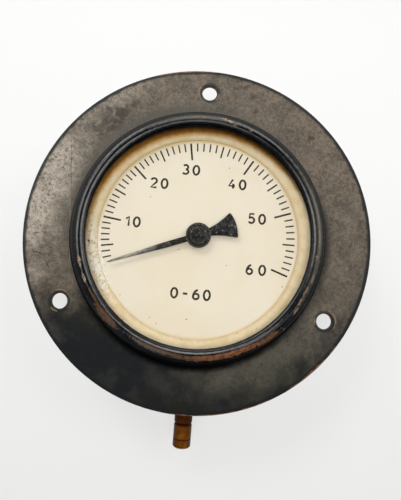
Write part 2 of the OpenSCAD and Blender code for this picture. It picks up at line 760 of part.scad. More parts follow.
// Brass pipe with a thick root, a wide dark groove, a narrow notch and a chamfered end
module inlet_pipe() {
    r = pipe_d / 2;
    start = boss_end - pipe_seat;
    groove = pipe_reach - pipe_groove_at;
    notch = pipe_reach - pipe_notch_at;
    root_r = r + pipe_root_extra / 2;
    root_end = boss_end + pipe_root_out;
    root_edge = pipe_root_extra / 4;
    profile = [
        [pipe_bore_d / 2, start], [root_r, start], [root_r, root_end - root_edge],
        [root_r - root_edge, root_end], [r, root_end],
        [r, groove - pipe_groove_w / 2], [r - pipe_groove_h, groove - pipe_groove_w / 2],
        [r - pipe_groove_h, groove + pipe_groove_w / 2], [r, groove + pipe_groove_w / 2],
        [r, notch - pipe_notch_w / 2], [r - pipe_groove_h, notch], [r, notch + pipe_notch_w / 2],
        [r, pipe_reach - pipe_chamfer], [r - pipe_chamfer, pipe_reach], [pipe_bore_d / 2, pipe_reach]
    ];
    color("#96692c") upright() translate([0, 0, -pipe_depth]) rotate([90, 0, 0])
        rotate_extrude() polygon(profile);
}

// Outline that both plates share: straight sides with round corners, clockwise
module plate_shape() {
    count = len(plate_corners);
    polygon([for (i = [0 : count - 1])
        let (here = plate_corners[i])
        let (before = here - plate_corners[(i + count - 1) % count])
        let (after = plate_corners[(i + 1) % count] - here)
        let (from = atan2(before[0], -before[1]))
        let (turn = (from - atan2(after[0], -after[1]) + 360) % 360)
        each arc(here, plate_corner_r, plate_corner_r, from, from - turn, corner_steps)]);
}

// Holes of one diameter through a plate at a list of points
module plate_holes(points, d) {
    for (p = points) translate(concat(p, [-1])) cylinder(d = d, h = plate_t + 2);
}

module movement_back_plate() {
    color("#c2a04e") upright() translate([0, 0, back_plate_z]) difference() {
        linear_extrude(plate_t) plate_shape();
        plate_holes([[0, 0], pivot], pivot_d + 2 * running_fit);
        plate_holes(pillar_points, pillar_spigot_d + 2 * seated_fit);
        plate_holes(movement_screw_points, movement_screw_d + 2 * screw_gap);
    }
}

module movement_front_plate() {
    color("#c2a04e") upright() translate([0, 0, front_plate_z]) difference() {
        linear_extrude(plate_t) plate_shape();
        plate_holes([[0, 0]], arbor_nose_d + 2 * running_fit);
        plate_holes([pivot], pivot_d + 2 * running_fit);
        plate_holes(pillar_points, plate_screw_d + 2 * screw_gap);
    }
}

// Pillars riveted into the back plate and tapped for the front plate's screws
module plate_pillars() {
    color("#b9b4a6") upright() for (p = pillar_points) translate(p) difference() {
        union() {
            disc(pillar_d / 2, back_plate_top_z, plate_gap);
            disc(pillar_spigot_d / 2, back_plate_z, plate_t + 1);
        }
        disc(plate_screw_d / 2 + seated_fit, front_plate_z - plate_screw_length, plate_screw_length + 1);
    }
}

module plate_screws() {
    color("#8d8b84") upright() for (p = pillar_points) translate(concat(p, [front_plate_z + plate_t]))
        screw(plate_screw_d, plate_t + plate_screw_length - screw_tip_gap, plate_screw_head_d, screw_head_t,
              slot_w, slot_depth);
}

module movement_screws() {
    color("#8d8b84") upright() for (p = movement_screw_points) translate(concat(p, [back_plate_top_z]))
        screw(movement_screw_d, plate_t + tongue_t, movement_screw_head_d, screw_head_t, slot_w, slot_depth);
}

// Two screws through the back of the case into the socket block
module case_screws() {
    color("#55544f") upright() for (side = [-1, 1])
        translate([side * case_screw_spread, case_screw_height, back_z]) mirror([0, 0, 1])
            screw(case_screw_d, case_t + case_screw_length, case_screw_head_d, case_screw_head_t,
                  case_slot_w, case_slot_depth);
}

front_flange();
case_can();
bezel_ring();
window_glass();
glass_gasket();
distance_ring();
dial_ring();
dial_plate();
pointer_blade();
pointer_hub();
pinion_arbor();
hairspring_collet();
hairspring();
hairspring_stud();
sector_gear();
sector_arbor();
sector_stop();
link_strip();
link_screw();
tip_pin();
tube_end_piece();
bourdon_tube();
socket_block();
inlet_pipe();
movement_back_plate();
movement_front_plate();
plate_pillars();
plate_screws();
movement_screws();
case_screws();
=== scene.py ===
from math import cos, hypot, pi, radians, sin

import bmesh
import bpy
from mathutils import Euler, Matrix, Vector


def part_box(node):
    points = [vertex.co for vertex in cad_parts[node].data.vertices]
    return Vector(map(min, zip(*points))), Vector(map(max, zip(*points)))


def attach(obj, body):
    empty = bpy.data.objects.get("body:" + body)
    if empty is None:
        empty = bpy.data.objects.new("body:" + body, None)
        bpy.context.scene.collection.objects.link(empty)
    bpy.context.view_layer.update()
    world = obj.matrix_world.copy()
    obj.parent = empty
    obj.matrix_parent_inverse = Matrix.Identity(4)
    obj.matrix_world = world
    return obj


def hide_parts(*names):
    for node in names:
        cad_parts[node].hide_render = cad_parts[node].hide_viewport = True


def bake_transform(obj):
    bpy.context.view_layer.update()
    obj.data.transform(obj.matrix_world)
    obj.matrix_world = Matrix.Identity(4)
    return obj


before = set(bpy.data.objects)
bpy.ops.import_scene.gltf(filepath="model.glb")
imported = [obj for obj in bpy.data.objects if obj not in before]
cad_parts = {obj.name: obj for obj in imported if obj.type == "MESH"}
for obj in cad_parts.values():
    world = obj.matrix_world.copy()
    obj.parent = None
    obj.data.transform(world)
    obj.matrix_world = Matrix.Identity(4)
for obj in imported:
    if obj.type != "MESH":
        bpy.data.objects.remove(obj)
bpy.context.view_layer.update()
scene = bpy.context.scene
mm = 0.001

scene.view_settings.view_transform = "Standard"
print("stage: frame loaded")


def addPiece(name, data):
    data.name = name
    piece = bpy.data.objects.new(name, data)
    scene.collection.objects.link(piece)
    return piece


# The photographer stands a little below the dial's centre and leans back.
cameraSetup = {
    "place": (-1.0, -129.3, -19.0),    # mm
    "turn": (96.46, -4.49, -1.41),     # degrees
    "lens": 29.52,                     # mm on a 36 mm sensor
}
cameraData = bpy.data.cameras.new("viewCamera")
cameraData.lens = cameraSetup["lens"]
cameraData.sensor_width = 36
cameraData.clip_start = 0.01
viewCamera = addPiece("viewCamera", cameraData)
viewCamera.location = Vector(cameraSetup["place"]) * mm
viewCamera.rotation_euler = Euler([radians(a) for a in cameraSetup["turn"]])
scene.camera = viewCamera


# Small helpers for node trees.
def addNode(tree, kind, **settings):
    node = tree.nodes.new(kind)
    for name, value in settings.items():
        setattr(node, name, value)
    return node


def feed(tree, socket, value):
    if isinstance(value, bpy.types.NodeSocket):
        tree.links.new(value, socket)
    else:
        socket.default_value = value


def wire(tree, kind, entries, **settings):
    # entries: values or sockets for the node's inputs, by their names
    node = addNode(tree, kind, **settings)
    for name, value in entries.items():
        feed(tree, node.inputs[name], value)
    return node.outputs


def calc(tree, operation, *values):
    node = addNode(tree, "ShaderNodeMath", operation=operation)
    for socket, value in zip(node.inputs, values):
        feed(tree, socket, value)
    return node.outputs[0]


def fold(tree, operation, values):
    total = values[0]
    for value in values[1:]:
        total = calc(tree, operation, total, value)
    return total


def plus(tree, *values):
    return fold(tree, "ADD", values)


def minus(tree, first, second):
    return calc(tree, "SUBTRACT", first, second)


def part(tree, *shares):
    return fold(tree, "MULTIPLY", shares)


def strongest(tree, *masks):
    return fold(tree, "MAXIMUM", masks)


def smoothStep(tree, value, low, high, fromZero=0.0, toOne=1.0):
    entries = {"Value": value, "From Min": low, "From Max": high, "To Min": fromZero, "To Max": toOne}
    return wire(tree, "ShaderNodeMapRange", entries, interpolation_type="SMOOTHSTEP")["Result"]


def blendColor(tree, factor, first, second, mode="MIX"):
    node = addNode(tree, "ShaderNodeMix", data_type="RGBA", blend_type=mode)
    for index, value in ((0, factor), (6, first), (7, second)):
        if isinstance(value, tuple) and len(value) == 3:
            value = (*value, 1.0)
        feed(tree, node.inputs[index], value)
    return node.outputs[2]


def newGroup(name, inputs, outputs):
    group = bpy.data.node_groups.new(name, "ShaderNodeTree")
    for label, value in inputs.items():
        socket = group.interface.new_socket(label, in_out="INPUT", socket_type="NodeSocketFloat")
        socket.default_value = value
    for label in outputs:
        group.interface.new_socket(label, in_out="OUTPUT", socket_type="NodeSocketFloat")
    return group, addNode(group, "NodeGroupInput").outputs, addNode(group, "NodeGroupOutput").inputs


def useGroup(tree, group, *row):
    # row: values for the group's inputs, in their order
    node = addNode(tree, "ShaderNodeGroup", node_tree=group)
    for socket, value in zip(node.inputs, row):
        feed(tree, socket, value)
    return node.outputs


def mask(tree, group, *row):
    return useGroup(tree, group, *row)["Mask"]


def placeInMm(tree):
    scale = addNode(tree, "ShaderNodeVectorMath", operation="SCALE")
    tree.links.new(addNode(tree, "ShaderNodeTexCoord").outputs["Object"], scale.inputs[0])
    scale.inputs["Scale"].default_value = 1 / mm
    return scale.outputs[0]


def axesOf(tree, vector):
    return wire(tree, "ShaderNodeSeparateXYZ", {"Vector": vector})


def noise(tree, vector, scale, detail=3.0, roughness=0.55, distortion=0.0):
    entries = {"Vector": vector, "Scale": scale, "Detail": detail, "Roughness": roughness,
               "Distortion": distortion}
    return wire(tree, "ShaderNodeTexNoise", entries)["Fac"]


def shifted(tree, vector, amount):
    node = addNode(tree, "ShaderNodeVectorMath", operation="ADD")
    feed(tree, node.inputs[0], vector)
    feed(tree, node.inputs[1], amount)
    return node.outputs[0]


# Effects that several finishes share. All sizes are mm on the piece, and angles are degrees.
def cloudMask(group, given, place):
    place = shifted(group, place, given["Shift"])
    value = noise(group, place, given["Scale"], given["Detail"], 0.6, given["Twist"])
    return smoothStep(group, value, given["Low"], given["High"])


def reachOf(tree, across, up):
    return calc(tree, "SQRT", plus(tree, calc(tree, "POWER", across, 2.0), calc(tree, "POWER", up, 2.0)))


def raggedMask(group, given, place, across, up):
    # full inside and gone at a reach of 1, with an edge that noise roughens
    reach = reachOf(group, across, up)
    wobble = part(group, minus(group, noise(group, place, given["Grain"], 4, 0.65), 0.5),
                  part(group, given["Ragged"], 2.0))
    return smoothStep(group, plus(group, reach, wobble), 1.0, minus(group, 1.0, given["Soft"]))


def offsetFrom(group, given, place):
    axes = axesOf(group, place)
    return minus(group, axes["X"], given["Across"]), minus(group, axes["Z"], given["Up"])


def patchMask(group, given, place):
    dx, dz = offsetFrom(group, given, place)
    turn = part(group, given["Turn"], pi / 180)
    c, s = calc(group, "COSINE", turn), calc(group, "SINE", turn)
    along = plus(group, part(group, dx, c), part(group, dz, s))
    beside = minus(group, part(group, dz, c), part(group, dx, s))
    return raggedMask(group, given, place, calc(group, "DIVIDE", along, given["Width"]),
                      calc(group, "DIVIDE", beside, given["Height"]))


def arcBandMask(group, given, place):
    x, z = offsetFrom(group, given, place)
    radius = reachOf(group, x, z)
    angle = part(group, calc(group, "ARCTAN2", z, x), 180 / pi)
    away = calc(group, "ABSOLUTE", calc(group, "WRAP", minus(group, angle, given["Angle"]), 180.0, -180.0))
    off = calc(group, "DIVIDE", minus(group, radius, given["Radius"]), given["HalfWidth"])
    return raggedMask(group, given, place, off, calc(group, "DIVIDE", away, given["HalfAngle"]))


def specksMask(group, given, place):
    entries = {"Vector": shifted(group, place, given["Shift"]), "Scale": given["Scale"]}
    cells = wire(group, "ShaderNodeTexVoronoi", entries, feature="F1")
    pick = wire(group, "ShaderNodeSeparateColor", {"Color": cells["Color"]})
    chosen = calc(group, "LESS_THAN", pick["Red"], given["Amount"])
    size = part(group, given["Size"], plus(group, pick["Green"], 0.3))
    return part(group, smoothStep(group, cells["Distance"], size, part(group, size, 0.5)), chosen)


def scratchesMask(group, given, place):
    entries = {"Vector": shifted(group, place, given["Shift"]), "Angle": part(group, given["Turn"], pi / 180)}
    x, y, z = axesOf(group, wire(group, "ShaderNodeVectorRotate", entries, rotation_type="Y_AXIS")[0])
    entries = {"X": x, "Y": y, "Z": calc(group, "DIVIDE", z, given["Stretch"])}
    squeezed = wire(group, "ShaderNodeCombineXYZ", entries)[0]
    top = minus(group, 0.72, given["Amount"])      # the noise's crests above this are the scratches
    value = noise(group, squeezed, given["Scale"], 2, 0.5)
    return smoothStep(group, value, top, plus(group, top, 0.05))


def makeEffect(name, build, **inputs):
    group, given, out = newGroup(name, inputs, ["Mask"])
    feed(group, out["Mask"], build(group, given, placeInMm(group)))
    return group


cloud = makeEffect("cloud", cloudMask, Scale=0.2, Detail=4, Low=0.4, High=0.6, Shift=0, Twist=0)
patch = makeEffect("patch", patchMask, Across=0, Up=0, Width=5, Height=5, Turn=0, Ragged=0.5, Grain=0.6,
                   Soft=0.4)
arcBand = makeEffect("arcBand", arcBandMask, Radius=30, HalfWidth=2, Angle=0, HalfAngle=30, Ragged=0.5,
                     Grain=0.6, Soft=0.4, Across=0, Up=0)
specks = makeEffect("specks", specksMask, Scale=0.5, Amount=0.2, Size=0.25, Shift=0)
scratches = makeEffect("scratches", scratchesMask, Scale=0.5, Turn=0, Stretch=20, Amount=0.1, Shift=0)
allRound = 700.0      # half angle of a band that closes on itself


def newMaterial(name, **values):
    material = bpy.data.materials.new(name)
    material.use_nodes = True
    tree = material.node_tree
    shader = tree.nodes["Principled BSDF"]
    for label, value in values.items():
        shader.inputs[label.replace("_", " ")].default_value = value
    return material, tree, shader


def paint(tree, shader, color, height, strength, depth):
    # depth: mm of the bump from the lowest height to the highest
    feed(tree, shader.inputs["Base Color"], color)
    bump = wire(tree, "ShaderNodeBump", {"Strength": strength, "Distance": depth * mm, "Height": height})
    feed(tree, shader.inputs["Normal"], bump[0])


def roughen(tree, shader, share, smooth, rough):
    feed(tree, shader.inputs["Roughness"], smoothStep(tree, share, 0.0, 1.0, smooth, rough))


def masksOf(tree, rows):
    # each row is an effect and the values of its inputs, in their order
    return {name: mask(tree, *row) for name, row in rows.items()}


def manyMasks(tree, group, rows, edge=()):
    # several marks of one effect, with the same edge values after each row
    return strongest(tree, *[mask(tree, group, *row, *edge) for row in rows])


def coat(tree, color, tint, *shares):
    # lays a tint over the colour, as strongly as its shares multiplied
    return blendColor(tree, part(tree, *shares), color, tint)


# Mounting flange: charcoal below, rubbed to a grey-brown patina over its upper half, paler at the upper left
# where a sheen of the light is painted in.
flangeLook = {
    "charcoal": (0.0120, 0.0118, 0.0095),
    "bluish": (0.0080, 0.0095, 0.0110),
    "sooty": (0.034, 0.034, 0.027),
    "olive": (0.088, 0.079, 0.060),
    "slate": (0.076, 0.073, 0.059),
    "dim": (0.064, 0.055, 0.043),
    "patina": (0.208, 0.166, 0.121),
    "paleSheen": (0.47, 0.415, 0.34),
    "pit": (0.010, 0.009, 0.008),
    "bezelShadowBlack": (0.003, 0.003, 0.003),
    "copper": (0.26, 0.115, 0.055),
    "tan": (0.30, 0.22, 0.13),
    "masks": {
        "medium": (cloud, 0.14, 7, 0.40, 0.60, 0, 0.8),
        "fine": (cloud, 0.75, 7, 0.40, 0.60, 40, 0.5),
        "grit": (cloud, 3.0, 3, 0.42, 0.60, 17),
        "bluish": (cloud, 0.06, 4, 0.42, 0.6, 9),
        "sooty": (cloud, 0.11, 5, 0.46, 0.64, 71),
        "olive": (arcBand, 44.6, 9.2, -50, 60, 0.5, 0.12, 0.9),
        "left": (arcBand, 47.0, 60.0, 131, 94, 0.3, 0.09, 0.34),
        "right": (arcBand, 47.0, 60.0, 55, 110, 0.3, 0.06, 0.58),
        "slate": (arcBand, 40.5, 6.0, 125, 105, 0.4, 0.1, 0.8),
        # pale zone at the upper left and along the top rim: patina with a painted sheen
        "bright": (arcBand, 51.5, 10.5, 166, 39, 0.55, 0.08, 0.75),
        "topEdge": (arcBand, 53.0, 5.0, 124, 20, 0.7, 0.15, 0.9),
        "smoke": (arcBand, 47.5, 5.0, 133, 20, 0.9, 0.16, 0.8),
        "smokeGrain": (cloud, 0.30, 6, 0.42, 0.56, 22, 1.0),
        "freckles": (cloud, 1.2, 5, 0.555, 0.62, 63),
        "rim": (arcBand, 55.6, 2.2, 0, allRound, 0.3, 0.3, 0.35),
        # painted shadow of the bezel on the flange below it, with some dirt
        "shade": (arcBand, 39.6, 3.2, -90, 86, 0.25, 0.3, 0.7),
        "shadeRight": (arcBand, 40.2, 3.0, 0, 34, 0.25, 0.3, 0.8),
        "line": (patch, -41.0, 5.0, 30.0, 0.17, 95.8, 0.3, 0.5, 0.6),
        "lineGrain": (cloud, 0.5, 4, 0.3, 0.6, 25),
        "hairs": (scratches, 1.3, 20, 9, 0.05, 12),
    },
    "sideLines": [(-42.2, 19.0, 15.0, 0.15, 95.8), (-40.0, -8.0, 12.0, 0.10, 93.0)],
    "copperEdges": [(55.0, 0.7, -45, 14, 0.9, 0.5), (55.0, 0.45, -78, 26, 1.1, 0.5),
                    (54.8, 0.5, 100, 13, 1.1, 0.7)],
    "holeCircle": 47.5,
    "holes": [(90, 170), (210, 80), (330, 20)],       # place on the circle, side of the tan arc
    "holeRim": (2.9, 0.8, 0, allRound, 0.4, 0.6, 0.8),
    "holeArcs": [(3.5, 0, 62), (3.1, 165, 30)],       # radius, turn from that side, half angle
    # across, up, half width, half height
    "blots": [(14.0, 47.3, 1.7, 1.3), (-49.0, 20.3, 1.5, 1.0), (-50.8, 15.4, 0.9, 0.6),
              (-34.7, 32.3, 3.6, 2.0), (-40.4, 34.8, 0.8, 0.6), (12.0, 50.6, 2.0, 0.7),
              (33.8, 34.6, 2.0, 1.4), (-43.0, 25.6, 0.4, 0.4), (-31.0, 35.5, 2.4, 1.6),
              (-24.0, 41.5, 2.6, 1.4), (15.5, 42.6, 1.5, 1.1)],
    # across, up, half length, turn
    "cracks": [(-49.6, -9.3, 2.6, -12), (-46.2, -12.6, 2.2, -58), (-50.5, -3.2, 2.4, 14),
               (-44.8, -6.6, 1.7, -30), (-41.5, 40.0, 1.6, 40), (-48.0, 22.0, 1.8, -35), (7.2, -46.6, 0.9, 55),
               (22.4, -38.0, 0.8, -60), (-25.4, -45.4, 0.9, 70)],
    "crackWidth": 0.16,
}


def makeFlangeFinish():
    look = flangeLook
    material, tree, shader = newMaterial("flangeFinish", Metallic=0.1, Specular_IOR_Level=0.26)
    marks = masksOf(tree, look["masks"])
    mottle = plus(tree, part(tree, marks["medium"], 0.30), part(tree, marks["fine"], 0.37),
                  part(tree, marks["grit"], 0.33))

    color = blendColor(tree, marks["bluish"], look["charcoal"], look["bluish"])
    color = coat(tree, color, look["sooty"], marks["sooty"], 0.5)
    color = coat(tree, color, look["olive"], marks["olive"], plus(tree, 0.5, part(tree, mottle, 0.8)))
    worn = blendColor(tree, mottle, look["dim"], look["patina"])
    worn = coat(tree, worn, look["slate"], marks["slate"], 0.75)
    # pale patina with a painted sheen of the light from the upper left, strongest near the outer rim
    paleSheen = strongest(tree, part(tree, marks["bright"], plus(tree, 0.22, part(tree, mottle, 0.95))),
                     part(tree, marks["topEdge"], mottle, 0.6))
    worn = coat(tree, worn, look["paleSheen"], paleSheen)
    upper = strongest(tree, marks["left"], marks["right"])
    color = coat(tree, color, worn, upper)

    smoke = part(tree, marks["smoke"], marks["smokeGrain"])
    freckled = strongest(tree, part(tree, marks["bright"], 0.8), part(tree, upper, 0.35))
    freckles = part(tree, marks["freckles"], freckled)
    blots = manyMasks(tree, patch, look["blots"], (30, 1.1, 0.9, 0.7))
    cracks = [(x, z, reach, look["crackWidth"], turn) for x, z, reach, turn in look["cracks"]]
    pits = strongest(tree, part(tree, freckles, 0.75), part(tree, blots, 0.55), part(tree, smoke, 0.62),
                     part(tree, manyMasks(tree, patch, cracks, (0.6, 0.7, 0.6)), 0.85))
    color = coat(tree, color, look["pit"], pits)

    rims, arcs = [], []
    for angle, side in look["holes"]:
        x, z = look["holeCircle"] * cos(radians(angle)), look["holeCircle"] * sin(radians(angle))
        rims.append((*look["holeRim"], x, z))
        arcs += [(radius, 0.3, side + turn, reach, 1.2, 1.6, 0.6, x, z)
                 for radius, turn, reach in look["holeArcs"]]
    color = coat(tree, color, look["pit"], manyMasks(tree, arcBand, rims), 0.7)
    color = coat(tree, color, look["tan"], manyMasks(tree, arcBand, arcs), 0.6)
    color = coat(tree, color, look["bluish"], marks["rim"], 0.92)
    # painted shadow of the bezel below it, with some dirt, in near black
    color = coat(tree, color, look["bezelShadowBlack"], marks["shade"], 0.95)
    color = coat(tree, color, look["charcoal"], marks["shadeRight"], 0.8)
    color = coat(tree, color, look["copper"], manyMasks(tree, arcBand, look["copperEdges"], (0.5,)), 0.8)
    color = coat(tree, color, look["pit"], manyMasks(tree, patch, look["sideLines"], (0.4, 0.5, 0.7)), 0.6)
    color = coat(tree, color, look["tan"], marks["line"], 0.75, marks["lineGrain"])
    color = coat(tree, color, look["slate"], marks["hairs"], 0.12)
    # the painted shadow below the bezel is made metallic too, so that it shows no reflection
    feed(tree, shader.inputs["Metallic"], plus(tree, 0.1, part(tree, marks["shade"], 0.8)))
    rough = plus(tree, part(tree, upper, 0.6), part(tree, marks["fine"], 0.4))
    feed(tree, shader.inputs["Roughness"], smoothStep(tree, rough, 0.0, 1.1, 0.42, 0.58))
    height = minus(tree, part(tree, plus(tree, marks["fine"], marks["grit"]), 0.5), pits)
    paint(tree, shader, color, minus(tree, height, part(tree, marks["line"], 0.6)), 0.35, 0.07)
    return material


# Bezel: glossy black enamel, chipped on its crest and worn to brown below, with painted highlight lines along
# its beads and a painted sheen on its crest.
bezelShape = {
    "footRadius": 40.1, "skirtTop": 2.1, "crestRadius": 37.0, "top": 5.3, "crestAcross": 0.45, "crestUp": 0.8,
    "curlRadius": 35.95, "curlWidth": 1.2, "curlHeight": 0.9, "lip": 0.1, "glassTop": 3.95,
    "sheet": 0.5, "base": 1.2, "steps": 240,
}
bezelLook = {
    "black": (0.0028, 0.0034, 0.0042),
    "soft": (0.007, 0.008, 0.010),
    "brown": (0.095, 0.042, 0.015),
    "orange": (0.23, 0.080, 0.022),
    "cream": (0.50, 0.39, 0.26),
    "copper": (0.24, 0.145, 0.085),
    "grime": (0.095, 0.075, 0.058),
    # grey of the painted highlight lines
    "paintedHighlight": (0.19, 0.19, 0.185),
    # olive grey of the dust films, which also paint a sheen on the crest
    "dustSheen": (0.085, 0.080, 0.058),
    "masks": {
        "broken": (cloud, 1.5, 4, 0.42, 0.52, 80),
        "soft": (cloud, 0.3, 4, 0.4, 0.7),
        "warm": (arcBand, 37.5, 5.0, -66, 34, 0.4, 0.2, 0.9),
        "warmGrain": (cloud, 0.7, 5, 0.36, 0.58, 20),
        "grey": (arcBand, 37.0, 5.0, -116, 26, 0.4, 0.3, 0.8),
        "black": (cloud, 2.4, 4, 0.48, 0.60, 3),
        "cream": (cloud, 1.8, 4, 0.4, 0.6, 50),
        "dust": (specks, 1.7, 0.12, 0.34),
        "foot": (arcBand, 39.7, 1.1, -98, 112, 0.1, 0.3, 0.5),
        "inside": (arcBand, 34.6, 1.1, 95, 115, 0.1, 0.3, 0.5),
        "dull": (cloud, 0.8, 4, 0.35, 0.7, 5),
        "ripple": (cloud, 0.7, 4, 0.2, 0.8),
    },
    # radius, half width, angle, half angle and strength of painted highlight lines along the beads, and of
    # films of dust that also paint a sheen
    "paintedHighlightStrips": [(35.8, 0.40, 178, 78, 0.8), (35.98, 0.40, -95, 62, 1.0), (36.0, 0.38, 95, 62, 0.2),
                     (35.9, 0.38, 10, 42, 0.85), (36.95, 0.38, 172, 52, 0.75), (36.9, 0.7, 98, 34, 0.55),
                     (39.85, 0.45, 100, 42, 0.9), (37.3, 0.5, 62, 34, 0.7), (36.35, 0.42, -56, 24, 0.8)],
    # dust films on the crest, which also paint its sheen at the right and at the top
    "dustSheenStrips": [(37.3, 1.5, 8, 52, 0.75), (37.6, 1.4, 96, 56, 0.3), (38.4, 1.2, 176, 40, 0.12)],
    # radius, half width, angle and half angle of each worn stretch, chip and scuff
    "worn": [(37.45, 0.95, -76, 27), (36.9, 0.9, -107, 15), (37.9, 0.85, -52, 8), (37.3, 1.4, -134, 9.5),
             (36.7, 0.5, -145, 5)],
    "chips": [(37.0, 0.5, -162.5, 3.4), (37.0, 0.42, -154, 3.0), (37.7, 0.35, 82.7, 2.6),
              (37.1, 0.45, 79.3, 3.0), (36.7, 0.35, 75.8, 1.8), (36.8, 0.35, 67.8, 1.3)],
    "scuffs": [(37.25, 0.22, 3, 6.5), (36.8, 0.4, -7, 1.8), (37.4, 0.42, -17, 3.0), (36.95, 0.4, -24, 3.0),
               (37.1, 0.45, -29, 3.2), (37.5, 0.5, -34, 2.6), (38.7, 0.3, -44, 0.9), (37.3, 0.2, 93.5, 6.0)],
}


def makeBezelFinish():
    look = bezelLook
    material, tree, shader = newMaterial("bezelFinish", Specular_IOR_Level=0.34)
    marks = masksOf(tree, look["masks"])
    worn = manyMasks(tree, arcBand, look["worn"], (0.75, 1.1, 0.4))
    chips, scuffs = [part(tree, manyMasks(tree, arcBand, look[name], (0.9, 1.3, 0.3)), marks["broken"])
                     for name in ("chips", "scuffs")]
    color = blendColor(tree, marks["soft"], look["black"], look["soft"])
    rust = blendColor(tree, part(tree, marks["warm"], marks["warmGrain"]), look["brown"], look["orange"])
    rust = coat(tree, rust, look["grime"], marks["grey"], 0.6)
    rust = coat(tree, rust, look["black"], marks["black"], 0.55)
    # films of dust that also paint a sheen, then the painted highlight lines
    for name in ("dustSheen", "paintedHighlight"):
        strips = strongest(tree, *[part(tree, strength, mask(tree, arcBand, *row, 0.45, 0.9, 0.85))
                                   for *row, strength in look[name + "Strips"]])
        color = coat(tree, color, look[name], strips)
    color = coat(tree, color, rust, worn, 0.92)
    color = coat(tree, color, look["copper"], scuffs, 0.8)
    color = coat(tree, color, blendColor(tree, marks["cream"], look["cream"], look["copper"]), chips)
    dust = part(tree, 0.45, marks["dust"])
    color = coat(tree, color, look["grime"], dust)
    shaded = strongest(tree, marks["foot"], marks["inside"])
    dull = strongest(tree, worn, chips, scuffs, dust, shaded, part(tree, 0.25, marks["dull"]))
    roughen(tree, shader, dull, 0.21, 0.65)
    feed(tree, shader.inputs["Metallic"], part(tree, shaded, 0.9))
    paint(tree, shader, color, minus(tree, marks["ripple"], strongest(tree, chips, worn, dust)), 0.3, 0.05)
    return material


def arc(centre, across, up, start, end, steps):
    return [(centre[0] + across * cos(radians(start + (end - start) * i / steps)),
             centre[1] + up * sin(radians(start + (end - start) * i / steps))) for i in range(steps + 1)]


def spinPiece(name, outline, axis, steps, centre=(0, 0, 0)):
    # outline: (radius, height) pairs in mm round the given axis, closed into a ring section
    mesh = bmesh.new()
    points = []
    for radius, height in outline:
        place = (radius, -height, 0) if axis == "Y" else (radius, 0, height)
        points.append(mesh.verts.new((Vector(place) + Vector(centre)) * mm))
    edges = [mesh.edges.new((a, b)) for a, b in zip(points, points[1:] + points[:1])]
    bmesh.ops.spin(mesh, geom=points + edges, cent=Vector(centre) * mm,
                   axis=(0, 1, 0) if axis == "Y" else (0, 0, 1), angle=2 * pi, steps=steps, use_merge=True)
    bmesh.ops.remove_doubles(mesh, verts=mesh.verts, dist=1e-7)
    bmesh.ops.recalc_face_normals(mesh, faces=mesh.faces)
    return finishMesh(name, mesh)


def finishMesh(name, mesh, smooth=True, sharp=35):
    data = bpy.data.meshes.new(name)
    mesh.to_mesh(data)
    mesh.free()
    for face in data.polygons:
        face.use_smooth = smooth
    piece = addPiece(name, data)
    if smooth:
        data.set_sharp_from_angle(angle=radians(sharp))
    return piece


def dress(nodeName, material):
    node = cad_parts[nodeName]
    node.data.materials.clear()
    node.data.materials.append(material)


def makeBezel():
    s = bezelShape
    t = s["sheet"]
    crest = (s["crestRadius"], s["skirtTop"])
    curl = (s["curlRadius"], s["glassTop"] + s["lip"])
    outer = [(s["footRadius"], s["base"])]
    outer += arc(crest, s["footRadius"] - s["crestRadius"], s["top"] - s["skirtTop"], 0, 90, 24)
    outer += arc((s["crestRadius"], s["top"] - s["crestUp"]), s["crestAcross"], s["crestUp"], 98, 160, 8)
    outer += arc(curl, s["curlWidth"], s["curlHeight"], 64, 180, 16)
    outer.append((s["curlRadius"] - s["curlWidth"], s["glassTop"]))
    inner = [(s["curlRadius"] - s["curlWidth"] + t, s["glassTop"])]
    inner += arc(curl, s["curlWidth"] - t, s["curlHeight"] - t, 180, 64, 8)
    inner += arc(crest, s["footRadius"] - s["crestRadius"] - t, s["top"] - s["skirtTop"] - t, 90, 0, 12)
    inner.append((s["footRadius"] - t, s["base"]))
    return spinPiece("bezelRing", outer + inner, "Y", s["steps"])


dress("front_flange", makeFlangeFinish())
bezel = makeBezel()
bezel.data.materials.append(makeBezelFinish())
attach(bezel, "case")
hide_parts("bezel_ring")
print("stage: flange and bezel")

# Dial: cream enamel, browned round its edge and stained at the left, with a painted shadow of the bezel and
# wall along the ring's upper edge.
dialShape = {
    "face": 1.6,              # mm behind the panel face
    "printLift": 0.02,
    "markEnd": 30.83,
    "low": 0.37,              # the printed scale and the ring's opening sit this far below the middle
    "longMark": 5.6, "middleMark": 3.9, "shortMark": 2.7,
    "longWidth": 0.60, "middleWidth": 0.50, "shortWidth": 0.45,
    "firstMark": 3, "lastMark": 60,
    "angles": {3: 196.7, 5: 189.5, 10: 172.2, 15: 154.3, 20: 136.3, 25: 118.0, 30: 98.9,
               35: 78.8, 40: 58.7, 45: 38.5, 50: 19.1, 55: -0.4, 60: -19.6},
}
dialRingShape = {"inner": 31.78, "outer": 37.1, "front": 1.1, "back": 1.6, "edge": 0.25,
                 "lowered": 1.0, "steps": 240}       # lowered: width of the lip that sits low with the print
numberShape = {
    # mm, and each place is the middle of a number, across and up
    "height": 3.15, "wide": 1.14, "spacing": 3.42, "spacings": {"60": 4.05}, "stroke": 0.70,
    "places": {"10": (-21.6, 2.9), "20": (-13.9, 16.1), "30": (-4.05, 21.35), "40": (11.25, 17.8),
               "50": (18.25, 7.05), "60": (18.97, -9.3), "0-60": (-1.0, -18.5)},
}
